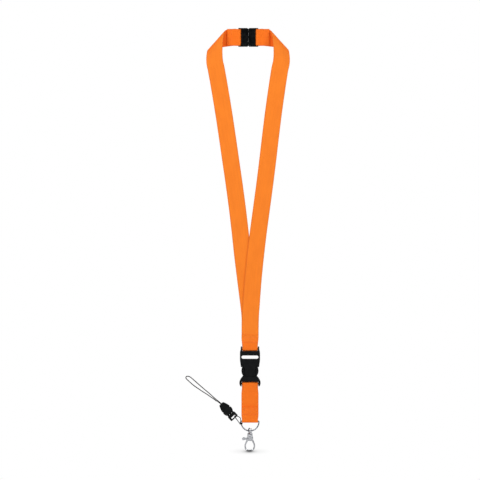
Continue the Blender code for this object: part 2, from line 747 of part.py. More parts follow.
def make_ring():
    """The D ring: a straight bar inside the strap's fold and a half round bow below it."""
    frame = pivot("ring_frame", GEAR_X, 0.0, RING_BAR_Z)
    drop = RING_ARC_Z - RING_BAR_Z
    corner = RING_CORNER
    points = [(-RING_HALF + corner, 0.0, 0.0), (0.0, 0.0, 0.0)]
    points += [(x, 0.0, z) for x, z in arc((RING_HALF - corner, -corner), corner, 90.0, 0.0, 5)]
    points += [(x, 0.0, z) for x, z in arc((0.0, drop), RING_HALF, 0.0, -180.0, 30)]
    points += [(x, 0.0, z) for x, z in arc((-RING_HALF + corner, -corner), corner, 180.0, 90.0, 5)[:-1]]
    wire_curve("d_ring", points, RING_WIRE, metal_material(), frame, closed=True)


def ring_bottom():
    return RING_ARC_Z - RING_HALF


def make_eye():
    """The swivel's eye hangs on the ring, and its post turns in the hook's collar."""
    frame = pivot("eye_frame", GEAR_X, 0.0, ring_bottom())
    axis = (math.cos(EYE_TURN), math.sin(EYE_TURN), 0.0)
    eye = ring_about("swivel_eye", (0.0, 0.0, EYE_RISE), axis, EYE_RADIUS, EYE_WIRE, 28, 10,
                     metal_material(), frame)
    top = EYE_RISE - EYE_RADIUS
    bottom = -474.1 - ring_bottom()
    post = rod("eye_post", POST_RADIUS, (0.0, 0.0, bottom), (0.0, 0.0, top), 16, None, frame)
    combine(eye, post, "UNION")
    head = rod("eye_head", 1.35, (0.0, 0.0, bottom), (0.0, 0.0, bottom + 0.8), 16, None, frame)
    combine(eye, head, "UNION")


def make_hook():
    """The hook's cast body: a collar, two cheeks round the gate, and the open bow."""
    metal = metal_material()
    frame = pivot("hook_frame", GEAR_X, 0.0, HOOK_CHEEKS_Z)
    body = rod("hook_body", 3.3, (0.0, 0.0, 5.1), (0.0, 0.0, 2.8), 24, metal, frame)
    cheeks = [(-3.6, 3.3), (3.4, 3.3), (3.9, 0.0), (3.6, -2.6), (-2.8, -2.6), (-3.9, -0.5)]
    combine(body, prism("hook_cheeks", cheeks, -2.6, 2.6, None, frame), "UNION")
    bow = [(2.6, -1.6), (3.8, -3.9), (4.9, -6.6), (5.4, -9.0), (5.1, -11.2), (3.9, -13.2), (1.8, -14.35),
           (-0.6, -14.6), (-2.7, -14.35), (-4.5, -13.2), (-5.6, -11.2), (-5.85, -9.0), (-5.6, -7.6)]
    route = smooth_path([(x, 0.0, z) for x, z in bow], 1.1)
    combine(body, bent_bar("hook_bow", route, HOOK_WIRE, 12, None, frame), "UNION")
    seat = box_outline(SEAT_X - SEAT_HALF, SEAT_X + SEAT_HALF, -SEAT_DROP, 1.0 - SEAT_DROP)
    combine(body, prism("hook_seat", seat, -2.0, 2.0, None, frame), "DIFFERENCE")
    bore = rod("hook_bore", POST_RADIUS + 0.15, (0.0, 0.0, 2.0), (0.0, 0.0, 6.0), 16, None, frame)
    combine(body, bore, "DIFFERENCE")
    pocket = prism("hook_pocket", box_outline(-7.0, 1.9, -4.5, 2.9), -1.5, 1.5, None, frame)
    combine(body, pocket, "DIFFERENCE")
    pivot_x = GATE_PIVOT[0] - GEAR_X
    pivot_z = GATE_PIVOT[1] - HOOK_CHEEKS_Z
    nose = [(pivot_x, pivot_z - 2.0)] + arc((pivot_x, pivot_z), GATE_REACH + 0.25, 228.0, 264.0, 6)
    combine(body, prism("hook_nose_cut", nose, -3.0, 3.0, None, frame), "DIFFERENCE")
    pin_hole = rod("hook_pin_hole", 0.65, (pivot_x, -4.0, pivot_z), (pivot_x, 4.0, pivot_z), 16, None, frame)
    combine(body, pin_hole, "DIFFERENCE")
    rod("gate_pin", 0.5, (pivot_x, -2.75, pivot_z), (pivot_x, 2.75, pivot_z), 16, metal, frame)
    coil = []
    turns = 2.5
    for step in range(31):
        angle = 2.0 * math.pi * turns * step / 30.0
        coil.append((pivot_x + 0.85 * math.cos(angle), 0.55 + 0.75 * step / 30.0,
                     pivot_z + 0.85 * math.sin(angle)))
    wire_curve("gate_spring", coil, 0.12, metal, frame, sides=1)


def make_gate():
    """The gate: a flat lever with a thumb pad, and an arm that shuts the bow."""
    frame = pivot("gate_frame", GATE_PIVOT[0], 0.0, GATE_PIVOT[1])
    outline = [(-4.3, -7.2), (-3.3, -4.8), (-2.3, -2.6), (-2.7, -1.6), (-4.5, -1.8),
               (-6.6, -2.2), (-7.4, -1.5), (-7.6, 0.2), (-6.9, 1.3), (-5.2, 1.5), (-3.0, 0.9), (-1.3, 0.9)]
    outline += arc((0.0, 0.0), 1.35, 140.0, -30.0, 8)
    outline += [(0.3, -2.2), (-1.3, -4.6), (-2.3, -6.8), (-2.7, -8.2)]
    outline += arc((0.0, 0.0), GATE_REACH, 253.0, 241.5, 4)
    gate = prism("hook_gate", outline, -0.9, 0.9, metal_material(), frame)
    hole = rod("gate_hole", 0.65, (0.0, -4.0, 0.0), (0.0, 4.0, 0.0), 16, None, frame)
    combine(gate, hole, "DIFFERENCE")
    seat = rod("gate_spring_seat", 1.25, (0.0, 0.3, 0.0), (0.0, 3.0, 0.0), 20, None, frame)
    combine(gate, seat, "DIFFERENCE")


def make_phone_strap():
    """The hitch on the ring, the short tether, and the string loop with its sleeve."""
    cord = cord_material()
    corner_x = GEAR_X - math.sqrt(RING_HALF ** 2 - (HITCH_Z - RING_ARC_Z) ** 2)
    ring_about("tether_hitch", (corner_x, 0.0, HITCH_Z), (0.13, 0.0, 1.0), RING_WIRE + TETHER_WIRE + 0.15,
               TETHER_WIRE, 18, 8, cord)
    tether = [(-10.4, -1.35, -456.2), (-9.2, -1.6, -454.0), (-9.6, -2.1, -451.2), (-11.2, -2.6, -449.6),
              (-13.0, -2.9, -448.8), (-14.5, -3.05, -448.6), (-15.9, -2.7, -448.4), (-16.3, -1.3, -448.4),
              (-16.6, 0.0, -448.5), (-16.8, 1.3, -448.8), (-16.75, 2.7, -449.2), (-16.3, 3.05, -450.2),
              (-15.5, 2.6, -451.2), (-14.7, 1.9, -452.0), (-12.95, 1.5, -454.4), (-11.3, 1.35, -456.6)]
    wire_curve("phone_tether_cord", smooth_path(tether, 1.0), TETHER_WIRE, cord)
    rod("string_sleeve", 1.0, (-33.45, 0.0, -433.45), (-37.8, 0.0, -430.0), 12, cord)
    string = [(-38.05, 0.0, -429.35), (-41.0, 0.0, -426.9), (-43.9, 0.0, -424.2), (-50.0, 0.0, -418.9),
              (-56.2, 0.0, -413.7), (-63.5, 0.0, -407.2), (-70.4, 0.0, -401.4), (-73.6, 0.0, -400.3),
              (-75.6, 0.0, -401.2), (-75.3, 0.0, -403.2), (-72.0, 0.0, -406.5), (-66.5, 0.0, -411.3),
              (-61.0, 0.0, -415.2), (-55.8, 0.0, -418.7), (-50.3, 0.0, -422.2), (-44.8, 0.0, -426.0),
              (-41.0, 0.0, -428.7), (-38.7, 0.0, -430.5)]
    wire_curve("phone_string_loop", smooth_path(string, 2.4), STRING_WIRE, cord)


def build():
    clear_scene()
    left_fold, right_fold = make_webbing()
    make_breakaway_clip(left_fold)
    make_release_buckle()
    make_lower_strap()
    make_stitching(left_fold, right_fold)
    make_ring()
    make_eye()
    make_hook()
    make_gate()
    make_mini_buckle()
    make_phone_strap()
    bpy.context.view_layer.update()


build()
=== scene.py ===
"""The looks of the neck lanyard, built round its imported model.

Sizes below are millimetres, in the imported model's frame: +Z is up, the wearer's front is towards -Y,
and the origin is the nape point. They are turned into metres when a mesh or a curve is made.
"""
import math

import bmesh
import bpy
import numpy as np
from mathutils import Matrix, Vector


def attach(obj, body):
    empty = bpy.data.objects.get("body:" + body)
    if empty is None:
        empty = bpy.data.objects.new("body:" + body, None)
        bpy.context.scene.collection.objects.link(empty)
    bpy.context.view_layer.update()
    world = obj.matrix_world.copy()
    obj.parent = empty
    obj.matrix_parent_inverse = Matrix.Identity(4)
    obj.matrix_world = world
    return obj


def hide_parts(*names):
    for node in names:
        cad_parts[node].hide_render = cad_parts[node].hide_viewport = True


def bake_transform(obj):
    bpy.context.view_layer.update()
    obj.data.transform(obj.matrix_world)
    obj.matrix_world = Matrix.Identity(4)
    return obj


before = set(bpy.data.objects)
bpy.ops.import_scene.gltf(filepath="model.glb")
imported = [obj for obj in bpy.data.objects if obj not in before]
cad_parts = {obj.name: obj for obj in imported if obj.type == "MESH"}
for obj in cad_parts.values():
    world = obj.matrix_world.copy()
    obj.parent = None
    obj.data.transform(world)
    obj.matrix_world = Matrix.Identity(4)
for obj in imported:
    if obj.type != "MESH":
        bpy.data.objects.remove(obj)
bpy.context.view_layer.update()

MM = 0.001

# webbing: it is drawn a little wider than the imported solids
WEB_WIDTH = 20.6
WEB_WIDTH_AT_BAR = 19.0
WEB_THICK = 1.0
LAYER_PITCH = 1.15
BAR_GAP = 0.22
LEFT_LEG = [(2.1, -356.4), (2.1, -341.0), (2.0, -327.3), (0.5, -312.7), (-3.2, -283.6), (-6.8, -254.5),
            (-9.9, -225.5), (-13.3, -196.4), (-17.2, -167.3), (-21.4, -138.2), (-25.6, -109.1),
            (-30.0, -80.0), (-34.8, -50.9), (-38.5, -30.0), (-41.3, -12.0)]
RIGHT_LEG = [(2.1, -356.4), (2.2, -341.0), (2.6, -327.3), (3.6, -312.7), (5.8, -283.6), (8.7, -254.5),
             (12.1, -225.5), (16.0, -196.4), (19.9, -167.3), (23.5, -138.2), (26.9, -109.1),
             (30.5, -80.0), (34.6, -50.9), (37.8, -30.0), (40.6, -12.0)]
NECK_JOIN_TAB_TOP = -350.7
NECK_JOIN_SEAMS = (-359.2, -352.9)
NECK_INNER_END = -361.5
STRAIGHT_BELOW = -355.0
DRAWN_IN_Z = -366.0         # the webbing is narrowest below this height
DRAWN_IN_LENGTH = 14.0      # and has its full width this far above it
CROSSING_TOP = -235.0
LEGS_LEVEL_TOP = -120.0
BAND_DEPTH = 5.0            # what lies further back than this is in the neck band
FOLD_ANGLE_LEFT = 48.3
FOLD_ANGLE_RIGHT = 47.6
FOLD_OFFSET_LEFT = 33.6
FOLD_OFFSET_RIGHT = 32.9
FOLD_LEAN = math.radians(40.0)
FOLD_LEAN_LENGTH = 24.0
FOLD_RADIUS = 3.4
NECK_TAB_END = 25.7
TAB_STITCH_MARGIN = 1.8     # from the tab's end to its stitching
TAB_STITCH_WIDTH = 3.4
TAB_STITCH_Z = (3.0, 19.2)
SEAM_HALF = 8.0
SEAM_DEPTH = 3.0            # a seam presses every layer less than this far from the strap's middle

# breakaway clip
CLIP_Z = 11.1
CLIP_HALF = 11.3
CLIP_BODY = 8.2
CLIP_RAIL_END = 12.1
CLIP_BAR = 10.5
CLIP_BAR_RADIUS = 0.85
CLIP_DEPTH = 2.7

# side release buckle, lower strap and ring
GEAR_X = 2.0
BUCKLE_SEAM_Z = -400.0
BUCKLE_DEPTH = 3.8
BUCKLE_BAR = 32.65
BUCKLE_BASE_BAR = -9.2
BUCKLE_BAR_RADIUS = 1.25
LOWER_TAB_TOP = -437.9
LOWER_TAB_SEAMS = (-447.0, -439.8)
LOWER_TOP_SEAMS = (-419.4, -415.2)
LOWER_HALF = 9.8            # half of the lower strap's width, where it passes the bars
LOWER_HALF_FREE = 10.35     # the same, clear of the buckle's ears
RING_BAR_Z = -454.8
RING_WIRE = 0.75
RING_HALF = 10.85
RING_CORNER = 1.0
RING_ARC_Z = -455.9

# hook
EYE_RADIUS = 2.7
EYE_WIRE = 0.9
EYE_RISE = 0.3
EYE_TURN = math.radians(43.0)
POST_RADIUS = 0.9
POST_END_Z = -474.1
HOOK_CHEEKS_Z = -476.0
GATE_PIVOT = (-0.1, -475.9)
GATE_REACH = 9.75
PIN_HALF = 2.75
PIN_HOLE_RADIUS = 0.62

# phone strap
HITCH_Z = -457.7
MINI_SEAM = (-21.63, -445.93)
MINI_TURN = math.radians(-43.1)
STRING_RADIUS = 0.62
TETHER_RADIUS = 0.52

# how finely the webbing is drawn
SIDE_COLUMNS = 9            # points from the middle of the webbing to its edge
WRAP_STEP = 0.45            # between rows round the bars
NECK_STEP = 0.4             # between rows in the neck band
FOLD_BELOW = 45.0           # rows lie twice as far apart below this height of the flat webbing
LEGS_BELOW = -60.0          # and four times as far apart below this one

# how a free leg lies: cupped across its width, and waving a little along its length
LEG_CUP = 0.35
LEG_WAVE = 0.45
LEG_WAVE_SPAN = 31.0
LEG_TWIST = 0.2
LEG_TWIST_SPAN = 19.0

STAGE_Z = -491.6            # the floor, just under the hook's foot


# ------------------------------------------------------------------ general shapes

def ease(value):
    value = min(1.0, max(0.0, value))
    return value * value * (3.0 - 2.0 * value)


def arc(centre, radius, first, last, steps):
    """Points on an arc, with angles in degrees from the first axis towards the second."""
    points = []
    for step in range(steps + 1):
        angle = math.radians(first + (last - first) * step / steps)
        points.append((centre[0] + radius * math.cos(angle), centre[1] + radius * math.sin(angle)))
    return points


def circle(centre, radius, sides):
    """The corners of a round outline, from the first axis on."""
    points = []
    for side in range(sides):
        angle = 2.0 * math.pi * side / sides
        points.append((centre[0] + radius * math.cos(angle), centre[1] + radius * math.sin(angle)))
    return points


def mirrored(half):
    """A whole outline from its right half, which runs from the lower end to the upper end."""
    return half + [(-x, z) for x, z in reversed(half)]


def box_outline(x0, x1, z0, z1):
    return [(x0, z0), (x1, z0), (x1, z1), (x0, z1)]


def smooth_path(points, step):
    """Evenly spaced points on a smooth curve through the given ones."""
    points = [Vector(point) for point in points]
    padded = [points[0] * 2.0 - points[1]] + points + [points[-1] * 2.0 - points[-2]]
    dense = []
    for index in range(1, len(padded) - 2):
        before, start, end, after = padded[index - 1:index + 3]
        for part in range(24):
            t = part / 24.0
            dense.append(0.5 * (2.0 * start + (end - before) * t
                                + (2.0 * before - 5.0 * start + 4.0 * end - after) * t ** 2
                                + (3.0 * start - before - 3.0 * end + after) * t ** 3))
    dense.append(points[-1])
    length = sum((b - a).length for a, b in zip(dense, dense[1:]))
    count = max(2, round(length / step))
    spaced = [dense[0]]
    wanted = length / count
    walked = 0.0
    for a, b in zip(dense, dense[1:]):
        piece = (b - a).length
        while piece > 0.0 and walked + piece >= wanted * len(spaced) and len(spaced) < count:
            spaced.append(a.lerp(b, (wanted * len(spaced) - walked) / piece))
        walked += piece
    spaced.append(dense[-1])
    return spaced


def link(name, data, *materials):
    obj = bpy.data.objects.new(name, data)
    bpy.context.scene.collection.objects.link(obj)
    for surface in materials:
        data.materials.append(surface)
    return obj


def from_bmesh(name, shape, *materials, sharp=35.0):
    """Turn a bmesh in millimetres into a smooth shaded object in metres."""
    bmesh.ops.recalc_face_normals(shape, faces=shape.faces)
    bmesh.ops.scale(shape, vec=(MM, MM, MM), verts=shape.verts)
    data = bpy.data.meshes.new(name)
    shape.to_mesh(data)
    shape.free()
    data.shade_smooth()
    data.set_sharp_from_angle(angle=math.radians(sharp))
    return link(name, data, *materials)


def close_ring(shape, here, there):
    """Faces between two rings of vertices."""
    count = len(here)
    for index in range(count):
        following = (index + 1) % count
        shape.faces.new((here[index], here[following], there[following], there[index]))


def lofted(name, rings, *materials):
    """A solid through rings of points, with flat ends."""
    shape = bmesh.new()
    rings = [[shape.verts.new(point) for point in ring] for ring in rings]
    for here, there in zip(rings, rings[1:]):
        close_ring(shape, here, there)
    shape.faces.new(rings[0])
    shape.faces.new(rings[-1])
    return from_bmesh(name, shape, *materials)


def placed(x, y, z, turn_y=0.0):
    """The place of a group of parts, in millimetres."""
    return Matrix.Translation((x, y, z)) @ Matrix.Rotation(turn_y, 4, "Y")


def filleted(outline, radius):
    """Round every corner of an outline with an arc."""
    count = len(outline)
    points = []
    for index in range(count):
        before, here, after = (Vector(outline[(index + k) % count]) for k in (-1, 0, 1))
        back = before - here
        ahead = after - here
        turn = math.pi - back.angle(ahead)
        reach = min(radius * math.tan(turn / 2.0), 0.45 * back.length, 0.45 * ahead.length)
        if turn < math.radians(4.0) or reach < 0.02:
            points.append((here.x, here.y))
            continue
        size = reach / math.tan(turn / 2.0)
        middle = here + (back.normalized() + ahead.normalized()).normalized() * (size / math.cos(turn / 2.0))
        spoke = here + back.normalized() * reach - middle
        sense = 1.0 if back.x * ahead.y - back.y * ahead.x < 0.0 else -1.0
        steps = max(2, math.ceil(turn / math.radians(18.0)))
        for step in range(steps + 1):
            angle = sense * turn * step / steps
            points.append((middle.x + spoke.x * math.cos(angle) - spoke.y * math.sin(angle),
                           middle.y + spoke.x * math.sin(angle) + spoke.y * math.cos(angle)))
    return points


def offset_outline(outline, distance):
    """Move a counterclockwise outline outwards, or inwards where the distance is negative.

    A point that moves inwards stops before it meets the opposite side of a narrow part.
    """
    points = np.array(outline)
    along = np.roll(points, -1, axis=0) - points
    lengths = np.linalg.norm(along, axis=1)
    second = np.stack([along[:, 1], -along[:, 0]], axis=1) / lengths[:, None]
    first = np.roll(second, 1, axis=0)
    square = np.maximum(0.4, 1.0 + np.sum(first * second, axis=1))
    outward = (first + second) / square[:, None]
    reach = np.zeros(len(points))
    for share in (0.2, 0.4, 0.6, 0.8, 1.0):
        moved = points + outward * distance * share
        away = moved[:, None, :] - points[None, :, :]
        nearest = np.clip(np.sum(away * along[None], axis=2) / lengths[None] ** 2, 0.0, 1.0)
        gap = np.linalg.norm(away - nearest[..., None] * along[None], axis=2).min(axis=1)
        clear = (gap > 0.9 * abs(distance) * share) & (reach >= share - 0.21)
        reach[clear] = share
    if distance > 0.0:
        reach[:] = 1.0
    return [tuple(point) for point in points + outward * distance * reach[:, None]]


def counterclockwise(outline):
    area = sum(a[0] * b[1] - b[0] * a[1] for a, b in zip(outline, outline[1:] + outline[:1]))
    return outline if area > 0.0 else outline[::-1]


def stacked(name, layers, place, *materials):
    """A solid from outlines stacked along y: each layer is a depth and an outline in x and z."""
    rings = [[place @ Vector((x, depth, z)) for x, z in outline] for depth, outline in layers]
    return lofted(name, rings, *materials)


def rounded_rims(rim, front, back, edge, outwards):
    """Layers of an outline between two faces, drawn in or flared out at both rims."""
    turns = [math.radians(30.0 * step) for step in range(4)]
    outlines = [offset_outline(rim, outwards * edge * (1.0 - math.sin(turn))) for turn in turns]
    depths = [edge * (1.0 - math.cos(turn)) for turn in turns]
    first = [(front + depth, outline) for depth, outline in zip(depths, outlines)]
    last = [(back - depth, outline) for depth, outline in zip(depths, outlines)]
    return first + last[::-1]


def moulded(name, outline, front, back, place, *materials, corner=0.5, edge=0.35):
    """A plate with rounded corners and rounded rims."""
    rim = counterclockwise(filleted(outline, corner))
    return stacked(name, rounded_rims(rim, front, back, edge, -1.0), place, *materials)


def opening(name, outline, front, back, place, corner=0.3, edge=0.35):
    """A cutter whose hole has rounded rims on both faces."""
    rim = counterclockwise(filleted(outline, corner))
    wide = offset_outline(rim, edge)
    layers = [(front - 1.0, wide)] + rounded_rims(rim, front, back, edge, 1.0) + [(back + 1.0, wide)]
    return stacked(name, layers, place)


def cutter(name, outline, front, back, place):
    """A plain prism to cut with."""
    rim = counterclockwise(outline)
    return stacked(name, [(front, rim), (back, rim)], place)


def frames_along(points, closed=False, side_way=None):
    """Two crosswise directions at each point of a line, which twist as little as they can."""
    last = len(points) - 1
    frames = []
    for index in range(len(points)):
        if closed:
            heading = (points[(index + 1) % len(points)] - points[index - 1]).normalized()
        else:
            heading = (points[min(index + 1, last)] - points[max(index - 1, 0)]).normalized()
        if side_way is None:
            side_way = heading.orthogonal().normalized()
        side_way = (side_way - heading * side_way.dot(heading)).normalized()
        frames.append((side_way, heading.cross(side_way)))
    return frames


def swept(name, points, radius, sides, *materials, closed=False, side_way=None):
    """A round bar along points, with rounded ends. The radius is a number or a function of 0 to 1."""
    points = [Vector(point) for point in points]
    at = radius if callable(radius) else lambda share: radius
    section = circle((0.0, 0.0), 1.0, sides)
    shape = bmesh.new()
    rings = []
    for index, (one, other) in enumerate(frames_along(points, closed, side_way)):
        size = at(index / (len(points) - 1))
        rings.append([shape.verts.new(points[index] + (one * x + other * y) * size) for x, y in section])
    for here, there in zip(rings, rings[1:]):
        close_ring(shape, here, there)
    if closed:
        twist = min(range(sides), key=lambda k: (rings[-1][0].co - rings[0][k].co).length)
        close_ring(shape, rings[-1], rings[0][twist:] + rings[0][:twist])
    else:
        for ring, tip, inner in ((rings[0], points[0], points[1]), (rings[-1], points[-1], points[-2])):
            out = (tip - inner).normalized()
            size = (ring[0].co - tip).length
            last = ring
            for step in (1, 2):
                angle = math.radians(30.0 * step)
                smaller = [shape.verts.new(tip + (vert.co - tip) * math.cos(angle)
                                           + out * size * math.sin(angle)) for vert in ring]
                close_ring(shape, last, smaller)
                last = smaller
            shape.faces.new(last)
    return from_bmesh(name, shape, *materials, sharp=60.0)


def turned(name, profile, centre, sides, *materials):
    """A turned solid about an upright axis: the profile holds (radius, height) from its foot up."""
    rings = []
    for radius, height in profile:
        rings.append([(x, y, centre[2] + height) for x, y in circle(centre, radius, sides)])
    return lofted(name, rings, *materials)


def settle(obj, tools=()):
    """Apply every modifier, and remove the helpers that they used."""
    bpy.context.view_layer.update()
    graph = bpy.context.evaluated_depsgraph_get()
    final = bpy.data.meshes.new_from_object(obj.evaluated_get(graph))
    obj.modifiers.clear()
    obj.data = final
    for tool in tools:
        bpy.data.objects.remove(tool)


def carve(obj, steps):
    """Add or cut away helper solids in turn."""
    for operation, tool in steps:
        step = obj.modifiers.new(tool.name, "BOOLEAN")
        step.operation = operation
        step.solver = "EXACT"
        step.object = tool
    settle(obj, [tool for operation, tool in steps])


def crisp(obj):
    """Smooth shading that keeps flat faces flat."""
    obj.data.shade_smooth()
    obj.data.set_sharp_from_angle(angle=math.radians(35.0))
    weigh = obj.modifiers.new("weighted_normals", "WEIGHTED_NORMAL")
    weigh.keep_sharp = True


def cast(obj, voxel, relax, keep):
    """Blend a body's shapes into each other, as a casting's are."""
    remesh = obj.modifiers.new("remesh", "REMESH")
    remesh.mode = "VOXEL"
    remesh.voxel_size = voxel * MM
    soften = obj.modifiers.new("soften", "SMOOTH")
    soften.iterations = relax
    soften.factor = 0.5
    thin = obj.modifiers.new("thin", "DECIMATE")
    thin.ratio = keep
    settle(obj)
    obj.data.shade_smooth()


def joined(name, parts):
    """Several closed shells in one object."""
    shape = bmesh.new()
    for part in parts:
        shape.from_mesh(part.data)
    data = bpy.data.meshes.new(name)
    shape.to_mesh(data)
    shape.free()
    for surface in parts[0].data.materials:
        data.materials.append(surface)
    for part in parts:
        bpy.data.objects.remove(part)
    obj = link(name, data)
    data.shade_smooth()
    return obj


# ------------------------------------------------------------------ materials

class Nodes:
    """A short way to write a node tree."""

    def __init__(self, tree):
        self.tree = tree

    def node(self, kind, **values):
        made = self.tree.nodes.new(kind)
        for key, value in values.items():
            setattr(made, key, value)
        return made

    def feed(self, socket, value):
        if isinstance(value, bpy.types.NodeSocket):
            self.tree.links.new(value, socket)
        else:
            socket.default_value = value

    def math(self, operation, first, second=0.0):
        made = self.node("ShaderNodeMath", operation=operation)
        self.feed(made.inputs[0], first)
        self.feed(made.inputs[1], second)
        return made.outputs[0]

    def noise(self, vector, scale, detail=3.0, roughness=0.5):
        made = self.node("ShaderNodeTexNoise")
        self.feed(made.inputs["Vector"], vector)
        self.feed(made.inputs["Scale"], scale)
        self.feed(made.inputs["Detail"], detail)
        self.feed(made.inputs["Roughness"], roughness)
        return made.outputs[0]

    def band(self, value, low, high, first=0.0, last=1.0):
        made = self.node("ShaderNodeMapRange", interpolation_type="SMOOTHSTEP")
        for socket, given in zip(made.inputs, (value, low, high, first, last)):
            self.feed(socket, given)
        return made.outputs[0]

    def blend(self, share, first, second):
        made = self.node("ShaderNodeMix", data_type="RGBA")
        self.feed(made.inputs[0], share)
        self.feed(made.inputs[6], first)
        self.feed(made.inputs[7], second)
        return made.outputs[2]

    def stretch(self, vector, scale):
        made = self.node("ShaderNodeMapping")
        self.feed(made.inputs["Vector"], vector)
        made.inputs["Scale"].default_value = scale
        return made.outputs[0]


class Shader(Nodes):
    """The node tree of one surface."""

    def __init__(self, name):
        self.material = bpy.data.materials.new(name)
        self.material.use_nodes = True
        super().__init__(self.material.node_tree)
        self.main = self.tree.nodes["Principled BSDF"]

    def set(self, **values):
        for key, value in values.items():
            self.main.inputs[key.replace("_", " ")].default_value = value

    def place(self):
        return self.node("ShaderNodeTexCoord").outputs["Object"]

    def bump(self, height, strength, distance, under=None):
        made = self.node("ShaderNodeBump")
        self.feed(made.inputs["Height"], height)
        made.inputs["Strength"].default_value = strength
        made.inputs["Distance"].default_value = distance
        if under is not None:
            self.feed(made.inputs["Normal"], under)
        return made.outputs[0]

    def finish(self, colour, roughness, normal):
        for key, value in (("Base Color", colour), ("Roughness", roughness), ("Normal", normal)):
            self.feed(self.main.inputs[key], value)
        return self.material


RIB_PITCH = 0.55            # of the ribs that run across the webbing
YARN_PITCH = 0.50           # of the yarns that run along it
WEB_COLOUR = (0.95, 0.235, 0.018, 1.0)
# the dye's darker streaks, and the painted shade in the weave's grooves
WEB_STREAK_AND_GROOVE_SHADE = (0.62, 0.095, 0.006, 1.0)
# painted shade along the webbing's rounded edges
WEB_EDGE_SHADE = (0.70, 0.155, 0.022, 1.0)
WEB_DOUBLED_SHADE = (0.95, 0.185, 0.0095, 1.0)     # painted shade: a deeper, redder colour on the neck band behind the folds and on the doubled straps
BAND_SHADE_FRONT = 4.0            # how far back the painted shade starts in the shoulder folds
BAND_SHADE_BACK = 10.0            # and where it is full
STRAP_SHADE_BELOW = -362.0      # the straps have the painted shade below this height
STRAP_SHADE_ABOVE = -352.0      # and the plain colour above this one


def webbing_surface():
    """Ribbed polyester webbing: yarns along it and ribs across it, with painted shade in the weave's grooves,
    along both edges, on the neck band and on the lower strap.
    """
    paint = Shader("orange_webbing")
    flat = paint.node("ShaderNodeUVMap", uv_map="weave").outputs[0]
    apart = paint.node("ShaderNodeSeparateXYZ")
    paint.feed(apart.inputs[0], flat)
    across, along = apart.outputs[0], apart.outputs[1]
    waver = paint.noise(paint.stretch(flat, (0.5, 0.22, 1.0)), 1.0, 2.0)
    shaken = paint.math("ADD", along, paint.math("MULTIPLY", waver, 0.3))
    ribs = paint.math("DIVIDE", shaken, RIB_PITCH)
    row = paint.math("FLOOR", ribs)
    rib = paint.math("SINE", paint.math("MULTIPLY", paint.math("FRACT", ribs), math.pi))
    shift = paint.math("MULTIPLY", paint.math("MODULO", row, 2.0), 0.5)
    yarns = paint.math("ADD", paint.math("DIVIDE", across, YARN_PITCH), shift)
    yarn = paint.math("COSINE", paint.math("MULTIPLY", yarns, 2.0 * math.pi))
    weave = paint.math("MULTIPLY", rib, paint.math("ADD", 0.75, paint.math("MULTIPLY", yarn, 0.25)))
    fibres = paint.noise(paint.stretch(flat, (9.0, 1.5, 1.0)), 1.0, 4.0, 0.7)
    height = paint.math("ADD", weave, paint.math("MULTIPLY", fibres, 0.35))
    # where the painted edge shade lies
    edge = paint.band(paint.math("ABSOLUTE", across), 9.1, 9.8)
    streaks = paint.noise(paint.stretch(flat, (0.8, 0.02, 1.0)), 1.0, 3.0)
    clouds = paint.noise(paint.stretch(flat, (0.12, 0.05, 1.0)), 1.0, 2.0)
    shade = paint.math("ADD", paint.math("MULTIPLY", streaks, 0.5), paint.math("MULTIPLY", clouds, 0.5))
    where = paint.node("ShaderNodeSeparateXYZ")
    paint.feed(where.inputs[0], paint.place())
    # painted shade: a deeper, redder colour on the neck band behind the folds and on the doubled straps below
    # the join
    band_shade = paint.band(where.outputs[1], BAND_SHADE_FRONT * MM, BAND_SHADE_BACK * MM)
    strap_shade = paint.band(where.outputs[2], STRAP_SHADE_BELOW * MM, STRAP_SHADE_ABOVE * MM, 1.0, 0.0)
    colour = paint.blend(paint.math("MAXIMUM", band_shade, strap_shade), WEB_COLOUR, WEB_DOUBLED_SHADE)
    colour = paint.blend(paint.band(shade, 0.35, 0.65, 0.16, 0.0), colour, WEB_STREAK_AND_GROOVE_SHADE)
    # painted shade: the weave's grooves are darker
    colour = paint.blend(paint.band(weave, 0.0, 0.45, 0.30, 0.0), colour, WEB_STREAK_AND_GROOVE_SHADE)
    # painted shade: a darker line along both edges
    colour = paint.blend(paint.math("MULTIPLY", edge, 0.5), colour, WEB_EDGE_SHADE)
    paint.set(Sheen_Weight=0.15, Sheen_Roughness=0.45, Specular_IOR_Level=0.2)
    paint.main.inputs["Sheen Tint"].default_value = (1.0, 0.55, 0.25, 1.0)
    rough = paint.band(fibres, 0.3, 0.7, 0.72, 0.9)
    return paint.finish(colour, rough, paint.bump(height, 0.5, 0.00010))


def thread_surface():
    """Twisted polyester sewing thread."""
    paint = Shader("orange_thread")
    place = paint.place()
    twist = paint.noise(place, 5200.0, 2.0)
    paint.set(Sheen_Weight=0.2, Specular_IOR_Level=0.4)
    dark = (0.88, 0.170, 0.010, 1.0)
    pale = (0.97, 0.205, 0.014, 1.0)
    colour = paint.blend(paint.band(twist, 0.35, 0.65), dark, pale)
    return paint.finish(colour, paint.band(twist, 0.3, 0.7, 0.45, 0.65), paint.bump(twist, 0.4, 0.00005))


def plastic_surface(name, roughness, grain):
    """Moulded acetal: near black, with a fine spark eroded grain and faint rubbed patches."""
    paint = Shader(name)
    place = paint.place()
    fine = paint.noise(place, grain, 2.0, 0.6)
    broad = paint.noise(place, 260.0, 3.0)
    paint.set(Specular_IOR_Level=0.16)
    dark = (0.0012, 0.0016, 0.0018, 1.0)
    pale = (0.0030, 0.0035, 0.0038, 1.0)
    colour = paint.blend(paint.band(broad, 0.35, 0.7), dark, pale)
    rough = paint.band(broad, 0.3, 0.7, roughness - 0.06, roughness + 0.10)
    return paint.finish(colour, rough, paint.bump(fine, 0.22, 0.00006))


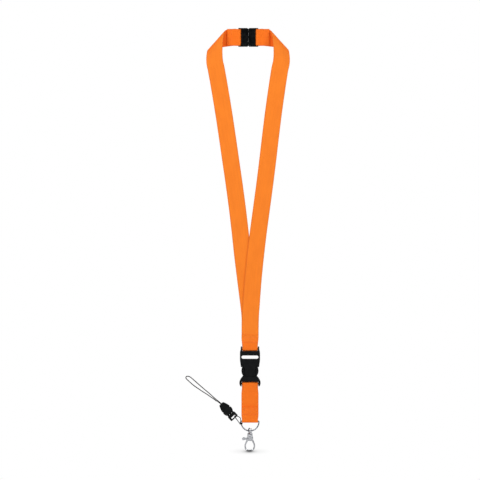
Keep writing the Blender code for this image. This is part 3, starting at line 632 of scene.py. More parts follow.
def metal_surface(name, dark, pale):
    """Nickel plate with hairline scratches and a slight cast ripple."""
    paint = Shader(name)
    place = paint.place()
    ripple = paint.noise(place, 420.0, 2.0)
    hair = paint.noise(paint.stretch(place, (5200.0, 5200.0, 260.0)), 1.0, 2.0, 0.7)
    dull = paint.noise(place, 900.0, 4.0)
    paint.set(Metallic=1.0)
    colour = paint.blend(paint.band(dull, 0.3, 0.75), dark, pale)
    rough = paint.math("ADD", paint.band(dull, 0.3, 0.7, 0.14, 0.26), paint.band(hair, 0.55, 0.8, 0.0, 0.12))
    under = paint.bump(ripple, 0.25, 0.0002)
    return paint.finish(colour, rough, paint.bump(hair, 0.12, 0.00003, under))


def cord_surface():
    """Black polyester cord."""
    paint = Shader("black_cord")
    place = paint.place()
    fibre = paint.noise(paint.stretch(place, (3800.0, 3800.0, 3800.0)), 1.0, 3.0, 0.7)
    paint.set(Sheen_Weight=0.06, Sheen_Roughness=0.4, Specular_IOR_Level=0.25)
    dark = (0.003, 0.003, 0.0035, 1.0)
    pale = (0.013, 0.013, 0.014, 1.0)
    colour = paint.blend(paint.band(fibre, 0.3, 0.7), dark, pale)
    return paint.finish(colour, paint.band(fibre, 0.3, 0.7, 0.55, 0.8), paint.bump(fibre, 0.5, 0.00008))


WEBBING = webbing_surface()
THREAD = thread_surface()
PLASTIC = plastic_surface("black_plastic", 0.36, 5200.0)
MATT_PLASTIC = plastic_surface("black_plastic_grained", 0.50, 3600.0)
METAL = metal_surface("nickel_plate", (0.43, 0.44, 0.465, 1.0), (0.56, 0.57, 0.59, 1.0))
WIRE_METAL = metal_surface("nickel_plate_on_wire", (0.20, 0.215, 0.24, 1.0), (0.29, 0.305, 0.33, 1.0))
CORD = cord_surface()


# ------------------------------------------------------------------ webbing

class Fold:
    """The soft mitre fold of one leg, drawn for the left side and mirrored for the right.

    The webbing bends about lines parallel to the fold line. It leans back as it nears the fold, then
    rolls over and runs on behind, facing the other way. `out` is the distance from the nape point
    square to the fold line, and `flat` is the same distance measured along the webbing.
    """

    STEP = 0.1

    def __init__(self, angle, offset):
        self.line = Vector((math.cos(math.radians(angle)), math.sin(math.radians(angle))))
        self.away = Vector((-self.line.y, self.line.x))
        self.profile = [(0.0, 0.0, 0.0)]
        flat = out = depth = widest = 0.0
        heading = 0.0
        while heading < math.pi:
            if flat < FOLD_LEAN_LENGTH:
                heading = FOLD_LEAN * ease(flat / FOLD_LEAN_LENGTH)
            else:
                heading = FOLD_LEAN + (flat - FOLD_LEAN_LENGTH) / FOLD_RADIUS
            out += math.cos(heading) * self.STEP
            depth += math.sin(heading) * self.STEP
            flat += self.STEP
            widest = max(widest, out)
            self.profile.append((flat, out, depth))
        self.start = offset - widest
        self.turned = flat
        self.back_out = out
        self.depth = depth

    def place(self, flat_point):
        """Where a point of the flat webbing lies once it is folded."""
        along = flat_point.dot(self.line)
        flat = flat_point.dot(self.away) - self.start
        if flat <= 0.0:
            out, depth = flat, 0.0
        elif flat >= self.turned:
            out, depth = self.back_out - (flat - self.turned), self.depth
        else:
            index = min(int(flat / self.STEP), len(self.profile) - 2)
            first, second = self.profile[index], self.profile[index + 1]
            share = (flat - first[0]) / self.STEP
            out = first[1] + (second[1] - first[1]) * share
            depth = first[2] + (second[2] - first[2]) * share
        spot = self.line * along + self.away * (out + self.start)
        return Vector((spot.x, depth, spot.y))

    def flatten_band(self, x, z):
        """The flat webbing's point that ends up at (x, z) in the neck band."""
        point = Vector((x, z))
        flat = self.turned + self.back_out + self.start - point.dot(self.away)
        return self.line * point.dot(self.line) + self.away * (flat + self.start)

    def flatten_leg(self, x, z):
        """The flat webbing's point that ends up at (x, z) in the leg."""
        point = Vector((x, z))
        out = point.dot(self.away) - self.start
        flat = out
        for entry in self.profile:
            if entry[1] >= out:
                flat = entry[0]
                break
        if out <= 0.0:
            flat = out
        return self.line * point.dot(self.line) + self.away * (flat + self.start)


def across_shares():
    """Places across the webbing from -1 to 1, closer together at the rounded edges."""
    half = [math.sin(math.pi / 2.0 * k / SIDE_COLUMNS) ** 0.8 for k in range(1, SIDE_COLUMNS + 1)]
    return [-value for value in reversed(half)] + [0.0] + half


SHARES = across_shares()
MIDDLE = SIDE_COLUMNS


def clip_bar_radius():
    return CLIP_BAR_RADIUS + BAR_GAP + WEB_THICK / 2.0


def clip_plane(fold):
    """The clip's middle lies between the two layers of the neck band."""
    return fold.depth - LAYER_PITCH / 2.0


def wrap_bar(point, plane):
    """Carry the neck band round the clip's bar and back along its own front."""
    radius = clip_bar_radius()
    spread = radius - LAYER_PITCH / 2.0
    past = point.x + CLIP_BAR
    if past <= 0.0:
        return Vector((point.x, point.y + spread * ease(1.0 + past / 6.0), point.z))
    turn = past / radius
    if turn < math.pi:
        return Vector((-CLIP_BAR + radius * math.sin(turn), plane + radius * math.cos(turn), point.z))
    gone = past - math.pi * radius
    return Vector((-CLIP_BAR - gone, plane - radius + spread * ease(gone / 6.0), point.z))


def leg_depth(side, z):
    """How far behind the front strap a leg lies."""
    if side > 0 or z > LEGS_LEVEL_TOP:
        return 0.0
    return LAYER_PITCH * (1.0 - ease((z - CROSSING_TOP) / (LEGS_LEVEL_TOP - CROSSING_TOP)))


def web_width(z):
    """The webbing is drawn in a little where it passes the buckle's bar."""
    return WEB_WIDTH_AT_BAR + (WEB_WIDTH - WEB_WIDTH_AT_BAR) * ease((z - DRAWN_IN_Z) / DRAWN_IN_LENGTH)


def leg_bow(side, z, share):
    """How far a free leg bows back: not at all at the crossing, and not at the fold."""
    above_crossing = ease((z - CROSSING_TOP - 15.0) / 50.0)
    below_fold = 1.0 - ease((z + 55.0) / 30.0)
    cup = -LEG_CUP * (1.0 - share * share)
    wave = LEG_WAVE * math.sin(z / LEG_WAVE_SPAN + side)
    twist = LEG_TWIST * share * math.sin(z / LEG_TWIST_SPAN + 2.0 * side)
    return above_crossing * below_fold * (cup + wave + twist)


def neck_rows(side, leg, fold):
    """Rows of points across one half of the neck loop, from the join to the tab on the neck band."""
    centre = [fold.flatten_leg(-side * x, z) for x, z in leg]
    extra = math.pi * clip_bar_radius() + NECK_TAB_END - CLIP_BAR
    for x in (-20.0, -CLIP_BAR - 2.0, -CLIP_BAR + extra):
        centre.append(fold.flatten_band(x, CLIP_Z))
    lower = smooth_path([(p.x, p.y, 0.0) for p in centre], NECK_STEP)
    rows = []
    for index, spot in enumerate(lower):
        step = 4 if spot.y < LEGS_BELOW else (2 if spot.y < FOLD_BELOW else 1)
        if index % step and index != len(lower) - 1:
            continue
        before = lower[max(0, index - 1)]
        after = lower[min(len(lower) - 1, index + 1)]
        heading = (after - before).normalized()
        across = Vector((heading.y, -heading.x))
        half = web_width(spot.y) / 2.0
        row = []
        for share in SHARES:
            place = fold.place(Vector((spot.x, spot.y)) + across * half * share)
            if place.y >= fold.depth - 1e-6:
                place = wrap_bar(place, clip_plane(fold))
            else:
                place.y += leg_bow(side, place.z, share)
            place.y += leg_depth(side, place.z)
            place.x *= -side
            row.append(place)
        rows.append(row)
    return [row for row in rows if row[MIDDLE].z > STRAIGHT_BELOW or row[MIDDLE].y > BAND_DEPTH]


def straight_row(half, depth, z, flip):
    """A level row across a strap that hangs on the gear's axis."""
    return [Vector((GEAR_X + flip * half * share, depth, z)) for share in SHARES]


def strap_rows(path):
    """Rows of a strap that runs in the y and z plane: the path's x is half of its width."""
    return [straight_row(point.x, point.y, point.z, 1.0) for point in path]


def right_rows(fold):
    steps = round((STRAIGHT_BELOW - NECK_INNER_END) / WRAP_STEP)
    low = []
    for step in range(steps):
        z = NECK_INNER_END + (STRAIGHT_BELOW - NECK_INNER_END) * step / steps
        low.append(straight_row(web_width(z) / 2.0, 0.0, z, -1.0))
    return low + neck_rows(1, RIGHT_LEG, fold)


def buckle_wrap():
    """The left strap's end: a tab up the front, round the buckle's bar and up the back."""
    bar_z = BUCKLE_SEAM_Z + BUCKLE_BAR
    reach = BUCKLE_BAR_RADIUS + BAR_GAP + WEB_THICK / 2.0
    half = WEB_WIDTH_AT_BAR / 2.0
    wide = WEB_WIDTH / 2.0
    drawn = bar_z + 7.35
    free = bar_z + 10.85
    route = [(wide, -LAYER_PITCH, NECK_JOIN_TAB_TOP), (wide - 0.1, -LAYER_PITCH, free),
             (half + 0.1, -LAYER_PITCH - 0.1, drawn)]
    for y, z in arc((0.0, bar_z), reach, 180.0, 360.0, 8):
        route.append((half, y, z))
    route += [(half + 0.1, LAYER_PITCH + 0.1, drawn), (wide - 0.1, LAYER_PITCH, free)]
    return strap_rows(smooth_path(route, WRAP_STEP))


def lower_rows():
    """One strip round the buckle's lower bar and the ring."""
    bar_z = BUCKLE_SEAM_Z + BUCKLE_BASE_BAR
    top_reach = BUCKLE_BAR_RADIUS + BAR_GAP + WEB_THICK / 2.0
    low_reach = RING_WIRE + BAR_GAP + WEB_THICK / 2.0
    half = LOWER_HALF
    pair = LAYER_PITCH / 2.0
    wide = LOWER_HALF_FREE
    route = [(wide, -LAYER_PITCH, LOWER_TAB_TOP), (wide, -LAYER_PITCH, -443.0),
             (wide, -LAYER_PITCH, -448.0), (half, -LAYER_PITCH - 0.2, -452.5)]
    for y, z in arc((0.0, RING_BAR_Z), low_reach, 180.0, 360.0, 8):
        route.append((half, y, z))
    route += [(half, LAYER_PITCH + 0.2, -452.5), (wide, LAYER_PITCH, -448.0),
              (wide, LAYER_PITCH, -438.0), (wide, pair + 0.05, -431.0), (wide, pair, -421.0),
              (half, 1.3, -415.0)]
    for y, z in arc((0.0, bar_z), top_reach, 0.0, 180.0, 8):
        route.append((half, y, z))
    route += [(half, -1.3, -415.0), (wide, -pair, -421.0), (wide, -pair - 0.05, -431.0),
              (wide, -0.1, -436.5), (wide, 0.0, -440.0), (wide, 0.0, -446.5)]
    return strap_rows(smooth_path(route, WRAP_STEP))


def webbing(name, rows, seams=()):
    """A strip of webbing round a grid of points, and its length. Seams press the strip in."""
    grid = np.array([[tuple(point) for point in row] for row in rows])
    along = np.gradient(grid, axis=0)
    across = np.gradient(grid, axis=1)
    normal = np.cross(along, across)
    normal /= np.linalg.norm(normal, axis=2, keepdims=True)
    shares = np.array(SHARES)
    inner = 1.0 - WEB_THICK / WEB_WIDTH
    edge = np.clip((np.abs(shares) - inner) / (1.0 - inner), 0.0, 1.0)
    half = WEB_THICK / 2.0 * np.sqrt(np.maximum(0.0, 1.0 - edge ** 2))
    groove = 0.07 * np.exp(-((np.abs(shares) - 0.87) / 0.03) ** 2)
    thick = np.tile(half - groove, (len(rows), 1))
    for seam in seams:
        thick -= seam(grid)
    thick = np.maximum(thick, 0.0)
    middle = grid[:, MIDDLE]
    steps = np.linalg.norm(np.diff(middle, axis=0), axis=1)
    walked = np.concatenate([[0.0], np.cumsum(steps)])
    shape = bmesh.new()
    layer = shape.loops.layers.uv.new("weave")
    inner_columns = range(1, len(shares) - 1)
    rings = []
    for i in range(len(rows)):
        front = [grid[i, j] + normal[i, j] * thick[i, j] for j in inner_columns]
        back = [grid[i, j] - normal[i, j] * thick[i, j] for j in inner_columns]
        ring = [grid[i, 0]] + front + [grid[i, -1]] + back[::-1]
        rings.append([shape.verts.new(point) for point in ring])
    half_width = WEB_WIDTH / 2.0
    columns = [0, *inner_columns, len(shares) - 1, *reversed(inner_columns)]
    flat = [shares[column] * half_width for column in columns]
    count = len(columns)
    for i in range(len(rings) - 1):
        for k in range(count):
            n = (k + 1) % count
            face = shape.faces.new((rings[i][k], rings[i][n], rings[i + 1][n], rings[i + 1][k]))
            places = ((k, i), (n, i), (n, i + 1), (k, i + 1))
            for loop, (column, line) in zip(face.loops, places):
                loop[layer].uv = (flat[column], walked[line])
    for end, line in ((rings[0], 0), (rings[-1], len(rings) - 1)):
        for k in range(count // 2):
            first, second = k, (k + 1) % count
            third, fourth = (count - k - 1) % count, (count - k) % count
            corners = []
            for index in (first, second, third, fourth):
                if index not in corners:
                    corners.append(index)
            if len(corners) > 2:
                face = shape.faces.new([end[index] for index in corners])
                for loop, column in zip(face.loops, corners):
                    loop[layer].uv = (flat[column], walked[line])
    return from_bmesh(name, shape, WEBBING, sharp=50.0), walked[-1]


def seam_across(z):
    """How far a row of stitches at height z presses a strap's faces in."""
    reach = SEAM_HALF + 0.4
    press = 0.16
    spread = 0.55

    def pressed(grid):
        inside = np.abs(grid[:, :, 1]) <= SEAM_DEPTH
        inside &= np.abs(grid[:, :, 0] - GEAR_X) <= reach
        return inside * press * np.exp(-((grid[:, :, 2] - z) / spread) ** 2)
    return pressed


# ------------------------------------------------------------------ sewing

THREAD_RADIUS = 0.14
STITCH_PITCH = 2.3
STITCH_POINTS = 6
STITCH_SINK = 0.26          # how deep the thread dips at each hole
STITCH_RISE = 0.34          # and how far it comes up again between two holes


def stitches(name, corners, face, closed=False):
    """A row of lock stitches through corner points in x and z, on a face at one depth.

    The thread dips into the webbing at each hole and stands a little proud between the holes.
    """
    outward = -1.0 if face < 0.0 or face > BAND_DEPTH else 1.0
    points = [Vector((x, z)) for x, z in corners]
    if closed:
        points.append(points[0])
    route = []
    for start, end in zip(points, points[1:]):
        span = (end - start).length
        count = max(1, round(span / STITCH_PITCH))
        total = count * STITCH_POINTS
        for step in range(total):
            route.append((start.lerp(end, step / total), (step % STITCH_POINTS) / STITCH_POINTS))
    route.append((points[-1], 0.0))
    line = []
    for spot, share in route:
        rise = math.sin(math.pi * share) ** 0.6
        line.append((spot.x, face + outward * (-STITCH_SINK + STITCH_RISE * rise), spot.y))
    return swept(name, line, THREAD_RADIUS, 6, THREAD)


def sewn(name, runs, body, *nodes):
    """All the thread of one seam, front and back."""
    parts = []
    for index, (corners, face, closed) in enumerate(runs):
        parts.append(stitches("%s_run_%d" % (name, index), corners, face, closed))
    obj = joined(name, parts)
    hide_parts(*nodes)
    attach(obj, body)


def box_with_cross(half, z0, z1):
    """A sewn box and the two diagonals in it."""
    left, right = GEAR_X - half, GEAR_X + half
    return [(left, z0), (right, z0), (right, z1), (left, z1), (left, z0), (right, z1), (right, z0),
            (left, z1)]


def add_webbing():
    left_fold = Fold(FOLD_ANGLE_LEFT, FOLD_OFFSET_LEFT)
    right_fold = Fold(FOLD_ANGLE_RIGHT, FOLD_OFFSET_RIGHT)
    join_seams = [seam_across(z) for z in NECK_JOIN_SEAMS]
    lower_seams = [seam_across(z) for z in LOWER_TAB_SEAMS + LOWER_TOP_SEAMS]

    left, length = webbing("neck_strap_left_web", buckle_wrap() + neck_rows(-1, LEFT_LEG, left_fold),
                           join_seams)
    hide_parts("neck_strap_left", "neck_strap_left_band")
    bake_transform(left)

    right, length = webbing("neck_strap_right_web", right_rows(right_fold), join_seams)
    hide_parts("neck_strap_right")
    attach(right, "neck_loop")

    lower, length = webbing("lower_strap_web", lower_rows(), lower_seams)
    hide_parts("lower_strap")
    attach(lower, "lower_gear")

    front = -LAYER_PITCH - WEB_THICK / 2.0
    rear = LAYER_PITCH + WEB_THICK / 2.0
    cross = box_with_cross(SEAM_HALF, *NECK_JOIN_SEAMS)
    sewn("neck_join_thread", [(cross, front, False), (cross, rear, False)], "neck_loop",
         "neck_join_stitching")
    cross = box_with_cross(SEAM_HALF, *LOWER_TAB_SEAMS)
    sewn("lower_strap_thread", [(cross, front, False), (cross, rear, False)], "lower_gear",
         "lower_strap_stitching")
    for side, fold, name, body in ((-1, left_fold, "left_tab", "breakaway_plug"),
                                   (1, right_fold, "right_tab", "neck_loop")):
        face = fold.depth - LAYER_PITCH - WEB_THICK / 2.0
        outer = side * (NECK_TAB_END - TAB_STITCH_MARGIN)
        inner = outer - side * TAB_STITCH_WIDTH
        low, high = TAB_STITCH_Z
        corners = [(inner, low), (outer, low), (outer, high), (inner, high)]
        sewn(name + "_thread", [(corners, face, True)], body, name + "_stitching")
    return left_fold


# ------------------------------------------------------------------ buckles

def rounded_slot(centre_z, width, height):
    """The outline of a slot with round ends, level with x."""
    radius = height / 2.0
    reach = width / 2.0 - radius
    return arc((reach, centre_z), radius, -90.0, 90.0, 10) + arc((-reach, centre_z), radius, 90.0, 270.0, 10)


def cross_bar(name, place, centre, half, radius):
    """The round bar that the webbing turns about."""
    points = [place @ Vector((half * share, 0.0, centre)) for share in (-1.0, -0.5, 0.0, 0.5, 1.0)]
    return swept(name, points, radius, 20)


def face_cuts(name, outline, bottom, depth, place):
    """Steps that cut one groove into the front and the back, from its bottom outwards."""
    steps = []
    for face in (-1, 1):
        near, far = sorted((face * bottom, face * (depth + 2.0)))
        steps.append(("DIFFERENCE", cutter("%s_%d" % (name, face), outline, near, far, place)))
    return steps


def add_latch(plan):
    """A side release pair: socket, base and two springy prongs, drawn about the seam's middle."""
    place = plan["place"]
    surface = plan["surface"]
    depth = plan["depth"]
    inner = plan["cavity_depth"]
    prefix = plan["prefix"]
    edge = plan["edge"]
    corner = plan["corner"]

    socket = moulded(prefix + "_socket_shell", mirrored(plan["socket"]), -depth, depth, place, surface,
                     corner=corner, edge=edge)
    steps = []
    if "panel" in plan:
        proud = depth + plan["panel_proud"]
        steps.append(("UNION", moulded(prefix + "_panel", mirrored(plan["panel"]), -proud, proud, place,
                                       corner=0.8, edge=plan["panel_proud"])))
    if "socket_bar" in plan:
        steps.append(("UNION", cross_bar(prefix + "_bar", place, *plan["socket_bar"])))
    steps.append(("DIFFERENCE", cutter(prefix + "_cavity", mirrored(plan["cavity"]), -inner, inner, place)))
    for index, slot in enumerate(plan.get("socket_slots", [])):
        steps.append(("DIFFERENCE", opening("%s_slot_%d" % (prefix, index), rounded_slot(*slot),
                                            -depth, depth, place, edge=edge)))
    for index, (outline, bottom) in enumerate(plan.get("grooves", [])):
        steps += face_cuts("%s_groove_%d" % (prefix, index), outline, bottom, depth, place)
    carve(socket, steps)
    finish_part(socket, plan, 0)

    base = moulded(prefix + "_base_shell", mirrored(plan["base"]), -plan["base_depth"], plan["base_depth"],
                   place, surface, corner=corner, edge=edge)
    steps = []
    if "base_bar" in plan:
        steps.append(("UNION", cross_bar(prefix + "_low_bar", place, *plan["base_bar"])))
    low, high, half, thick = plan["tongue"]
    steps.append(("UNION", moulded(prefix + "_tongue", box_outline(-half, half, low, high), -thick, thick,
                                   place, corner=0.6, edge=0.3)))
    for side in (-1, 1):
        outline = [(side * x, z) for x, z in plan["pocket"]]
        steps.append(("DIFFERENCE", cutter("%s_pocket_%d" % (prefix, side), outline, -inner, inner, place)))
    for index, slot in enumerate(plan.get("base_slots", [])):
        steps.append(("DIFFERENCE", opening("%s_low_slot_%d" % (prefix, index), rounded_slot(*slot),
                                            -plan["base_depth"], plan["base_depth"], place, edge=edge)))
    for index, (outline, bottom) in enumerate(plan.get("base_grooves", [])):
        steps += face_cuts("%s_low_groove_%d" % (prefix, index), outline, bottom, depth, place)
    carve(base, steps)
    finish_part(base, plan, 1)

    thin = plan["prong_depth"]
    root = arc(plan["hinge"], plan["root"], 180.0, 360.0, 12)
    for index, side in ((2, -1), (3, 1)):
        outline = [(side * x, z) for x, z in root + plan["prong"]]
        prong = moulded("%s_prong_%d" % (prefix, side), outline, -thin, thin, place, surface,
                        corner=0.35, edge=plan["prong_edge"])
        if "pad" in plan:
            outline = [(side * x, z) for x, z in plan["pad"]]
            pad = moulded("%s_pad_%d" % (prefix, side), outline, -plan["pad_depth"], plan["pad_depth"], place,
                          surface, corner=plan["pad_corner"], edge=plan["pad_edge"])
            steps = []
            for number, ridge in enumerate(plan["pad_ridges"]):
                outline = [(side * x, z) for x, z in ridge]
                steps += face_cuts("%s_ridge_%d_%d" % (prefix, side, number), outline,
                                   plan["pad_depth"] - 0.3, depth, place)
            carve(pad, steps)
            prong = joined(prong.name, [prong, pad])
        finish_part(prong, plan, index)


def finish_part(obj, plan, index):
    """Name a part of a latch after what it is, and put it in its node's place."""
    obj.name = plan["names"][index]
    crisp(obj)
    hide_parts(plan["nodes"][index])
    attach(obj, plan["bodies"][index])


def add_release_buckle():
    ridges = []
    for step in range(4):
        z = 3.6 + 1.45 * step
        ridges.append(box_outline(7.7, 11.5, z, z + 0.5))
    add_latch({
        "prefix": "release",
        "names": ("buckle_socket", "buckle_base", "buckle_prong_left", "buckle_prong_right"),
        "nodes": ("side_release_socket", "side_release_base", "side_release_prong_left",
                  "side_release_prong_right"),
        "bodies": ("neck_loop", "lower_gear", "release_left_prong", "release_right_prong"),
        "place": placed(GEAR_X, 0.0, BUCKLE_SEAM_Z),
        "surface": PLASTIC,
        "depth": BUCKLE_DEPTH,
        "corner": 0.5,
        "edge": 0.4,
        "socket": [(6.3, 0.03), (6.3, 8.5), (7.2, 10.9), (10.5, 10.9), (11.1, 11.6), (12.2, 19.5),
                   (12.2, 28.0), (11.9, 30.2), (11.3, 31.8), (11.2, 35.4), (10.7, 36.0), (9.7, 35.4),
                   (9.7, 30.1)],
        "panel": [(5.4, 0.9), (5.4, 8.2), (9.6, 20.0)],
        "panel_proud": 0.6,
        "socket_bar": (BUCKLE_BAR, 9.6, BUCKLE_BAR_RADIUS),
        "cavity": [(9.35, -1.0), (9.35, 12.6), (10.6, 12.8), (10.6, 18.6), (9.6, 19.8)],
        "cavity_depth": 2.05,
        "socket_slots": [(22.9, 20.6, 4.2)],
        "base": [(10.1, -6.75), (10.2, -12.2), (11.0, -12.6), (11.9, -11.8), (12.6, -10.2), (12.9, -8.2),
                 (12.6, -6.3), (11.7, -4.2), (10.6, -2.3), (9.3, -0.9), (8.5, -0.04)],
        "base_depth": 3.7,
        "base_bar": (BUCKLE_BASE_BAR, 10.6, BUCKLE_BAR_RADIUS),
        "tongue": (-1.0, 14.0, 1.6, 1.7),
        "pocket": [(3.0, 0.6), (3.0, -5.0), (8.0, -5.0), (8.6, -2.0), (10.5, 0.6)],
        "hinge": (5.6, -3.0),
        "root": 1.5,
        "prong_depth": 1.85,
        "prong": [(7.5, -1.0), (8.6, 0.4), (9.9, 3.2), (10.4, 6.2), (10.1, 9.0), (9.6, 10.3),
                  (9.1, 10.75), (9.1, 12.7), (10.1, 17.8), (9.7, 18.9), (8.6, 19.2), (7.8, 18.2),
                  (6.9, 13.0), (5.9, 8.0), (4.8, 2.5), (4.3, 0.0)],
        "pad": [(6.75, 0.6), (8.5, 0.7), (9.95, 3.2), (10.45, 6.2), (10.15, 9.0), (9.6, 10.2), (8.5, 10.5),
                (7.3, 9.9), (6.75, 8.4)],
        "pad_depth": 3.2,
        "prong_edge": 0.25,
        "pad_corner": 1.2,
        "pad_edge": 0.5,
        "pad_ridges": ridges,
    })


def add_breakaway_clip(fold):
    grooves = []
    low_grooves = []
    half = 8.6
    width = 0.45
    bottom = CLIP_DEPTH - 0.3
    for z in (1.9, 3.9, 5.9):
        grooves.append((box_outline(-half, half, z, z + width), bottom))
        low_grooves.append((box_outline(-half, half, -z - width, -z), bottom))
    add_latch({
        "prefix": "clip",
        "names": ("clip_socket", "clip_plug", "clip_prong_upper", "clip_prong_lower"),
        "nodes": ("breakaway_socket", "breakaway_plug_base", "breakaway_prong_upper",
                  "breakaway_prong_lower"),
        "bodies": ("neck_loop", "breakaway_plug", "breakaway_upper_prong", "breakaway_lower_prong"),
        "place": placed(0.0, clip_plane(fold), CLIP_Z, math.radians(90.0)),
        "surface": PLASTIC,
        "depth": CLIP_DEPTH,
        "corner": 0.45,
        "edge": 0.35,
        "socket": [(10.2, 0.03), (CLIP_HALF, 1.2), (CLIP_HALF, CLIP_RAIL_END), (10.25, CLIP_RAIL_END),
                   (10.25, CLIP_BODY + 0.3)],
        "socket_bar": (CLIP_BAR, CLIP_HALF - 0.8, CLIP_BAR_RADIUS),
        "cavity": [(8.35, -1.0), (8.35, 2.0), (8.9, 2.2), (8.9, 6.0), (8.2, 6.6)],
        "cavity_depth": 1.5,
        "grooves": grooves,
        "base": [(10.25, -CLIP_BODY - 0.3), (10.25, -CLIP_RAIL_END), (CLIP_HALF, -CLIP_RAIL_END),
                 (CLIP_HALF, -1.2), (10.2, -0.03)],
        "base_depth": CLIP_DEPTH,
        "base_bar": (-CLIP_BAR, CLIP_HALF - 0.8, CLIP_BAR_RADIUS),
        "base_grooves": low_grooves,
        "tongue": (-1.0, 5.4, 2.0, 1.2),
        "pocket": [(4.6, 0.6), (4.6, -5.6), (9.2, -5.6), (9.2, 0.6)],
        "hinge": (6.9, -3.6),
        "root": 1.3,
        "prong_depth": 1.3,
        "prong": [(8.2, -2.5), (8.2, 2.1), (8.55, 4.9), (8.2, 5.7), (7.2, 5.8), (6.9, 5.0), (6.4, 2.0),
                  (5.8, -2.0)],
        "prong_edge": 0.25,
    })


def add_mini_buckle():
    depth = 2.5
    grooves = []
    for step in range(5):
        z = 8.6 + 1.3 * step
        grooves.append((box_outline(-6.5, 6.5, z, z + 0.5), depth - 0.35))
    ridges = [box_outline(4.9, 7.0, z, z + 0.4) for z in (2.6, 3.7, 4.8, 5.9)]
    add_latch({
        "prefix": "mini",
        "names": ("phone_buckle_socket", "phone_buckle_base", "phone_buckle_prong_left",
                  "phone_buckle_prong_right"),
        "nodes": ("mini_buckle_socket", "mini_buckle_base", "mini_buckle_prong_left",
                  "mini_buckle_prong_right"),
        "bodies": ("phone_loop", "phone_strap", "mini_left_prong", "mini_right_prong"),
        "place": placed(MINI_SEAM[0], 0.0, MINI_SEAM[1], MINI_TURN),
        "surface": MATT_PLASTIC,
        "depth": depth,
        "corner": 0.5,
        "edge": 0.45,
        "socket": [(4.2, 0.2), (4.2, 7.6), (5.8, 7.6), (5.9, 8.4), (5.5, 10.5), (4.5, 13.4), (3.4, 16.0),
                   (2.8, 16.6)],
        "cavity": [(4.6, -1.0), (4.6, 8.8), (4.95, 9.0), (4.75, 10.6), (4.0, 11.8)],
        "cavity_depth": 1.35,
        "grooves": grooves,
        "base": [(4.7, -7.5), (5.35, -6.9), (5.35, -1.8), (4.9, -0.9), (4.4, -0.2)],
        "base_depth": 2.3,
        "tongue": (-1.0, 6.0, 0.8, 1.0),
        "pocket": [(1.4, 0.6), (1.4, -2.7), (4.3, -2.7), (4.7, 0.6)],
        "base_slots": [(-5.1, 6.2, 2.0)],
        "hinge": (3.1, -1.4),
        "root": 0.9,
        "prong_depth": 1.15,
        "prong": [(4.0, -0.6), (4.5, 0.5), (5.6, 2.4), (6.2, 4.6), (6.1, 6.2), (5.5, 7.2), (4.45, 7.3),
                  (4.45, 8.9), (4.7, 10.1), (4.3, 11.1), (3.5, 11.2), (3.2, 10.2), (3.4, 8.0), (3.6, 4.0),
                  (2.5, 0.4)],
        "pad": [(4.6, 1.0), (5.5, 2.4), (6.15, 4.6), (6.05, 6.2), (5.5, 7.1), (4.55, 7.1)],
        "pad_depth": 1.9,
        "prong_edge": 0.12,
        "pad_corner": 0.4,
        "pad_edge": 0.3,
        "pad_ridges": ridges,
    })


# ------------------------------------------------------------------ ring and hook

def metal_piece(obj, body, *nodes):
    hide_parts(*nodes)
    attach(obj, body)


def add_ring():
    drop = RING_ARC_Z - RING_BAR_Z
    corner = RING_CORNER
    outline = [(x, 0.0) for x in (-9.0, -6.0, -3.0, 0.0, 3.0, 6.0, 9.0)]
    outline += arc((RING_HALF - corner, -corner), corner, 90.0, 0.0, 6)
    outline += arc((0.0, drop), RING_HALF, 0.0, -180.0, 72)
    outline += arc((-RING_HALF + corner, -corner), corner, 180.0, 90.0, 6)
    points = [(GEAR_X + x, 0.0, RING_BAR_Z + z) for x, z in outline]
    ring = swept("ring_wire", points, RING_WIRE, 18, WIRE_METAL, closed=True,
                 side_way=Vector((0.0, 1.0, 0.0)))
    metal_piece(ring, "ring", "d_ring")


def add_eye():
    centre_z = RING_ARC_Z - RING_HALF + EYE_RISE
    way = Vector((-math.sin(EYE_TURN), math.cos(EYE_TURN), 0.0))
    up = Vector((0.0, 0.0, 1.0))
    middle = Vector((GEAR_X, 0.0, centre_z))
    points = []
    for step in range(56):
        angle = 2.0 * math.pi * step / 56
        points.append(middle + (way * math.cos(angle) + up * math.sin(angle)) * EYE_RADIUS)
    eye = swept("swivel_eye_ring", points, EYE_WIRE, 18, METAL, closed=True,
                side_way=Vector((math.cos(EYE_TURN), math.sin(EYE_TURN), 0.0)))
    top = centre_z - EYE_RADIUS
    length = top - POST_END_Z
    post = turned("eye_post", [(1.1, 0.0), (1.35, 0.2), (1.35, 0.6), (1.1, 0.8), (POST_RADIUS, 0.95),
                               (POST_RADIUS, length - 1.8), (2.8, length - 1.7), (3.25, length - 1.35),
                               (3.25, length - 0.8), (2.7, length - 0.3), (1.6, length + 0.15)],
                  (GEAR_X, 0.0, POST_END_Z), 28)
    carve(eye, [("UNION", post)])
    cast(eye, 0.11, 3, 0.55)
    metal_piece(eye, "eye", "swivel_eye")


